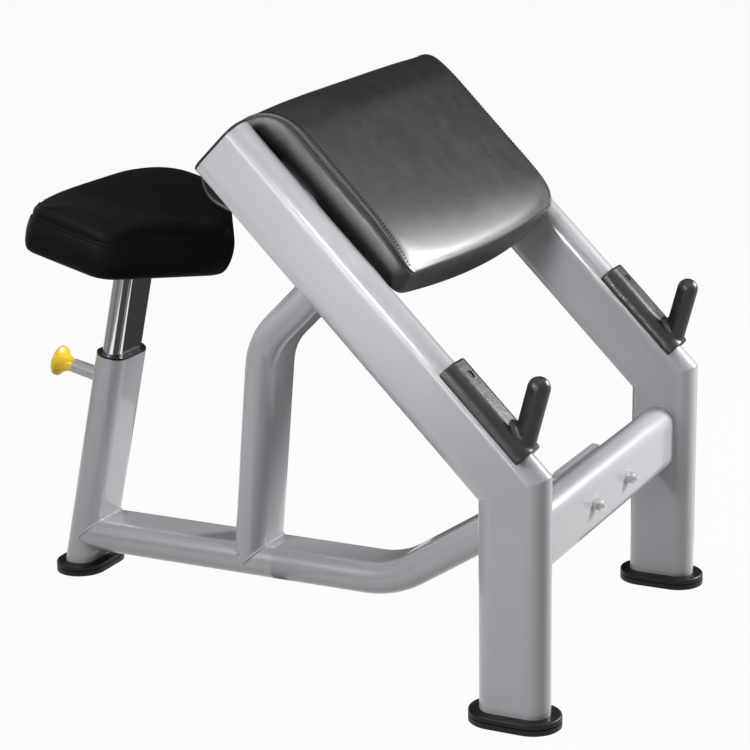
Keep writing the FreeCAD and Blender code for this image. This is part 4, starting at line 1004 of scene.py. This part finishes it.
def weld(node, other):
    """A rippled bead along the joint of two tubes."""
    spots = evenly(joint_line(node, other), WELD_STEP)
    points = []
    count = len(spots)
    for index, spot in enumerate(spots):
        way = (spots[(index + 1) % count] - spots[index - 1]).normalized()
        side = way.orthogonal().normalized()
        if points:
            side = points[-WELD_SIDES] - spots[index - 1]
            side = (side - way * side.dot(way)).normalized()
        up = way.cross(side)
        phase = (index * WELD_STEP / WELD_RIPPLE) % 1
        radius = WELD_RADIUS * (WELD_LOW_SHARE + WELD_RIPPLE_SHARE * math.sin(math.pi * phase))
        for turn in range(WELD_SIDES):
            angle = 2 * math.pi * turn / WELD_SIDES
            points.append(spot + (side * math.cos(angle) + up * math.sin(angle)) * radius)
    faces = tube_faces(0, count, WELD_SIDES)
    return add_piece(f"weld_{node}_{other}", points, faces, MATERIALS["frame_paint"], "frame")


def pull_spring():
    """The pull pin's coil as a piece of its own on the frame. The real coil shortens against the housing's
    end as the pin is pulled; this piece keeps its shape.
    """
    coil = frame["nodes"]["pin_spring"].data
    piece = bpy.data.objects.new("pull_spring", coil.copy())
    bpy.context.scene.collection.objects.link(piece)
    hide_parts("pin_spring")
    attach(piece, "frame")
    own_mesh(piece)


def seen_share(tree, unseen, seen):
    """An amount with one value to what the camera sees, also in metal and glass, and another to the rest."""
    path = tree.nodes.new("ShaderNodeLightPath")
    total = path.outputs["Is Camera Ray"]
    for kind in ("Is Glossy Ray", "Is Transmission Ray"):
        add = tree.nodes.new("ShaderNodeMath")
        add.operation = "ADD"
        add.use_clamp = True
        tree.links.new(total, add.inputs[0])
        tree.links.new(path.outputs[kind], add.inputs[1])
        total = add.outputs["Value"]
    scale = tree.nodes.new("ShaderNodeMath")
    scale.operation = "MULTIPLY_ADD"
    tree.links.new(total, scale.inputs[0])
    scale.inputs[1].default_value = seen - unseen
    scale.inputs[2].default_value = unseen
    return scale.outputs["Value"]


def make_floor():
    """A white floor that keeps part of the bench's shadow."""
    mesh = bpy.data.meshes.new("floor")
    corners = [(x * FLOOR_RADIUS, y * FLOOR_RADIUS, 0) for x, y in ((-1, -1), (1, -1), (1, 1), (-1, 1))]
    mesh.from_pydata(corners, [], [(0, 1, 2, 3)])
    floor = bpy.data.objects.new("floor", mesh)
    bpy.context.scene.collection.objects.link(floor)
    nodes = Nodes("white_floor", (FLOOR_GREY, FLOOR_GREY, FLOOR_GREY), 0.9,
                  sockets={"Specular IOR Level": 0.0})
    glow = nodes.add("ShaderNodeEmission", strength=1.0)
    share = seen_share(nodes.tree, 0.0, FLOOR_GLOW_SHARE)
    blend = nodes.add("ShaderNodeMixShader", fac=share)
    nodes.tree.links.new(nodes.shader.outputs["BSDF"], blend.inputs[1])
    nodes.tree.links.new(glow.outputs["Emission"], blend.inputs[2])
    nodes.tree.links.new(blend.outputs["Shader"], nodes.tree.nodes["Material Output"].inputs["Surface"])
    mesh.materials.append(nodes.material)


def make_world():
    """A white room to the camera and in reflections, and a dim soft light on the bench."""
    world = bpy.data.worlds.new("studio")
    world.use_nodes = True
    bpy.context.scene.world = world
    tree = world.node_tree
    background = tree.nodes["Background"]
    background.inputs["Color"].default_value = (1, 1, 1, 1)
    tree.links.new(seen_share(tree, WORLD_LIGHT, 1.0), background.inputs["Strength"])


# Softboxes: place, aimed at, width and height, turn about the aim and spread in degrees, power in watts
SOFTBOXES = {
    "left_strip": ((-2.2, 0.2, 0.88), (-0.38, 0.05, 0.83), 0.3, 1.5, 45, 180, 11),
    "left_high": ((-1.8, 0.7, 1.75), (-0.38, -0.2, 0.65), 0.9, 0.9, 0, 90, 8),
    "left_front": ((-2.2, -0.5, 1.35), (0.32, -0.38, 0.68), 0.35, 0.35, 0, 22, 0.65),
    "top_front": ((-0.6, -1.2, 3.2), (0, -0.1, 0.5), 1.8, 1.8, 0, 180, 16),
    "right_front": ((2.0, -2.15, 1.6), (0.05, -0.5, 0.75), 0.75, 0.75, 0, 180, 130),
}

# Dark cards that only reflections show: the two ends of each one's foot, its top and its grey
CARDS = {
    "right_wall": ((3.0, -1.2), (3.0, 4.0), 4.0, 0.03),
    "right_low": ((0.58, -0.6), (0.58, 1.1), 0.6, 0.045),
    "left_low": ((-1.3, 0.8), (-1.3, -0.2), 0.62, 0.3),
    "left_rear_low": ((-1.3, 1.75), (-1.3, 0.8), 0.62, 0.17),
    "rear_low": ((0.5, 1.75), (-1.3, 1.75), 0.6, 0.26),
    "front_low": ((-0.9, 0.1), (0.06, 0.1), 0.5, 0.06),
}


def make_lights():
    for name, (place, target, width, height, turn, spread, power) in SOFTBOXES.items():
        light = bpy.data.lights.new(name, "AREA")
        light.shape = "RECTANGLE"
        light.size = width
        light.size_y = height
        light.energy = power
        light.spread = math.radians(spread)
        lamp = bpy.data.objects.new(name, light)
        lamp.visible_camera = False
        aim = (Vector(target) - Vector(place)).to_track_quat("-Z", "Y").to_matrix().to_4x4()
        lamp.matrix_world = Matrix.Translation(place) @ aim @ Matrix.Rotation(math.radians(turn), 4, "Z")
        bpy.context.scene.collection.objects.link(lamp)


def make_cards():
    for name, (start, stop, top, grey) in CARDS.items():
        mesh = bpy.data.meshes.new(name)
        mesh.from_pydata([(*start, 0), (*stop, 0), (*stop, top), (*start, top)], [], [(0, 1, 2, 3)])
        card = bpy.data.objects.new(name, mesh)
        card.visible_camera = False
        card.visible_diffuse = False
        card.visible_shadow = False
        card.visible_transmission = False
        card.visible_volume_scatter = False
        nodes = Nodes(name, (0, 0, 0), 1.0, sockets={"Specular IOR Level": 0.0, "Emission Strength": 1.0})
        nodes.shader.inputs["Emission Color"].default_value = (grey, grey, grey, 1)
        mesh.materials.append(nodes.material)
        bpy.context.scene.collection.objects.link(card)


bpy.context.scene.view_settings.view_transform = "Standard"
make_camera()
make_floor()
make_world()
make_lights()
make_cards()
dress_nodes()
arm_pad()
seat()
for ends, meets in WELDS:
    weld(ends, meets)
pull_spring()
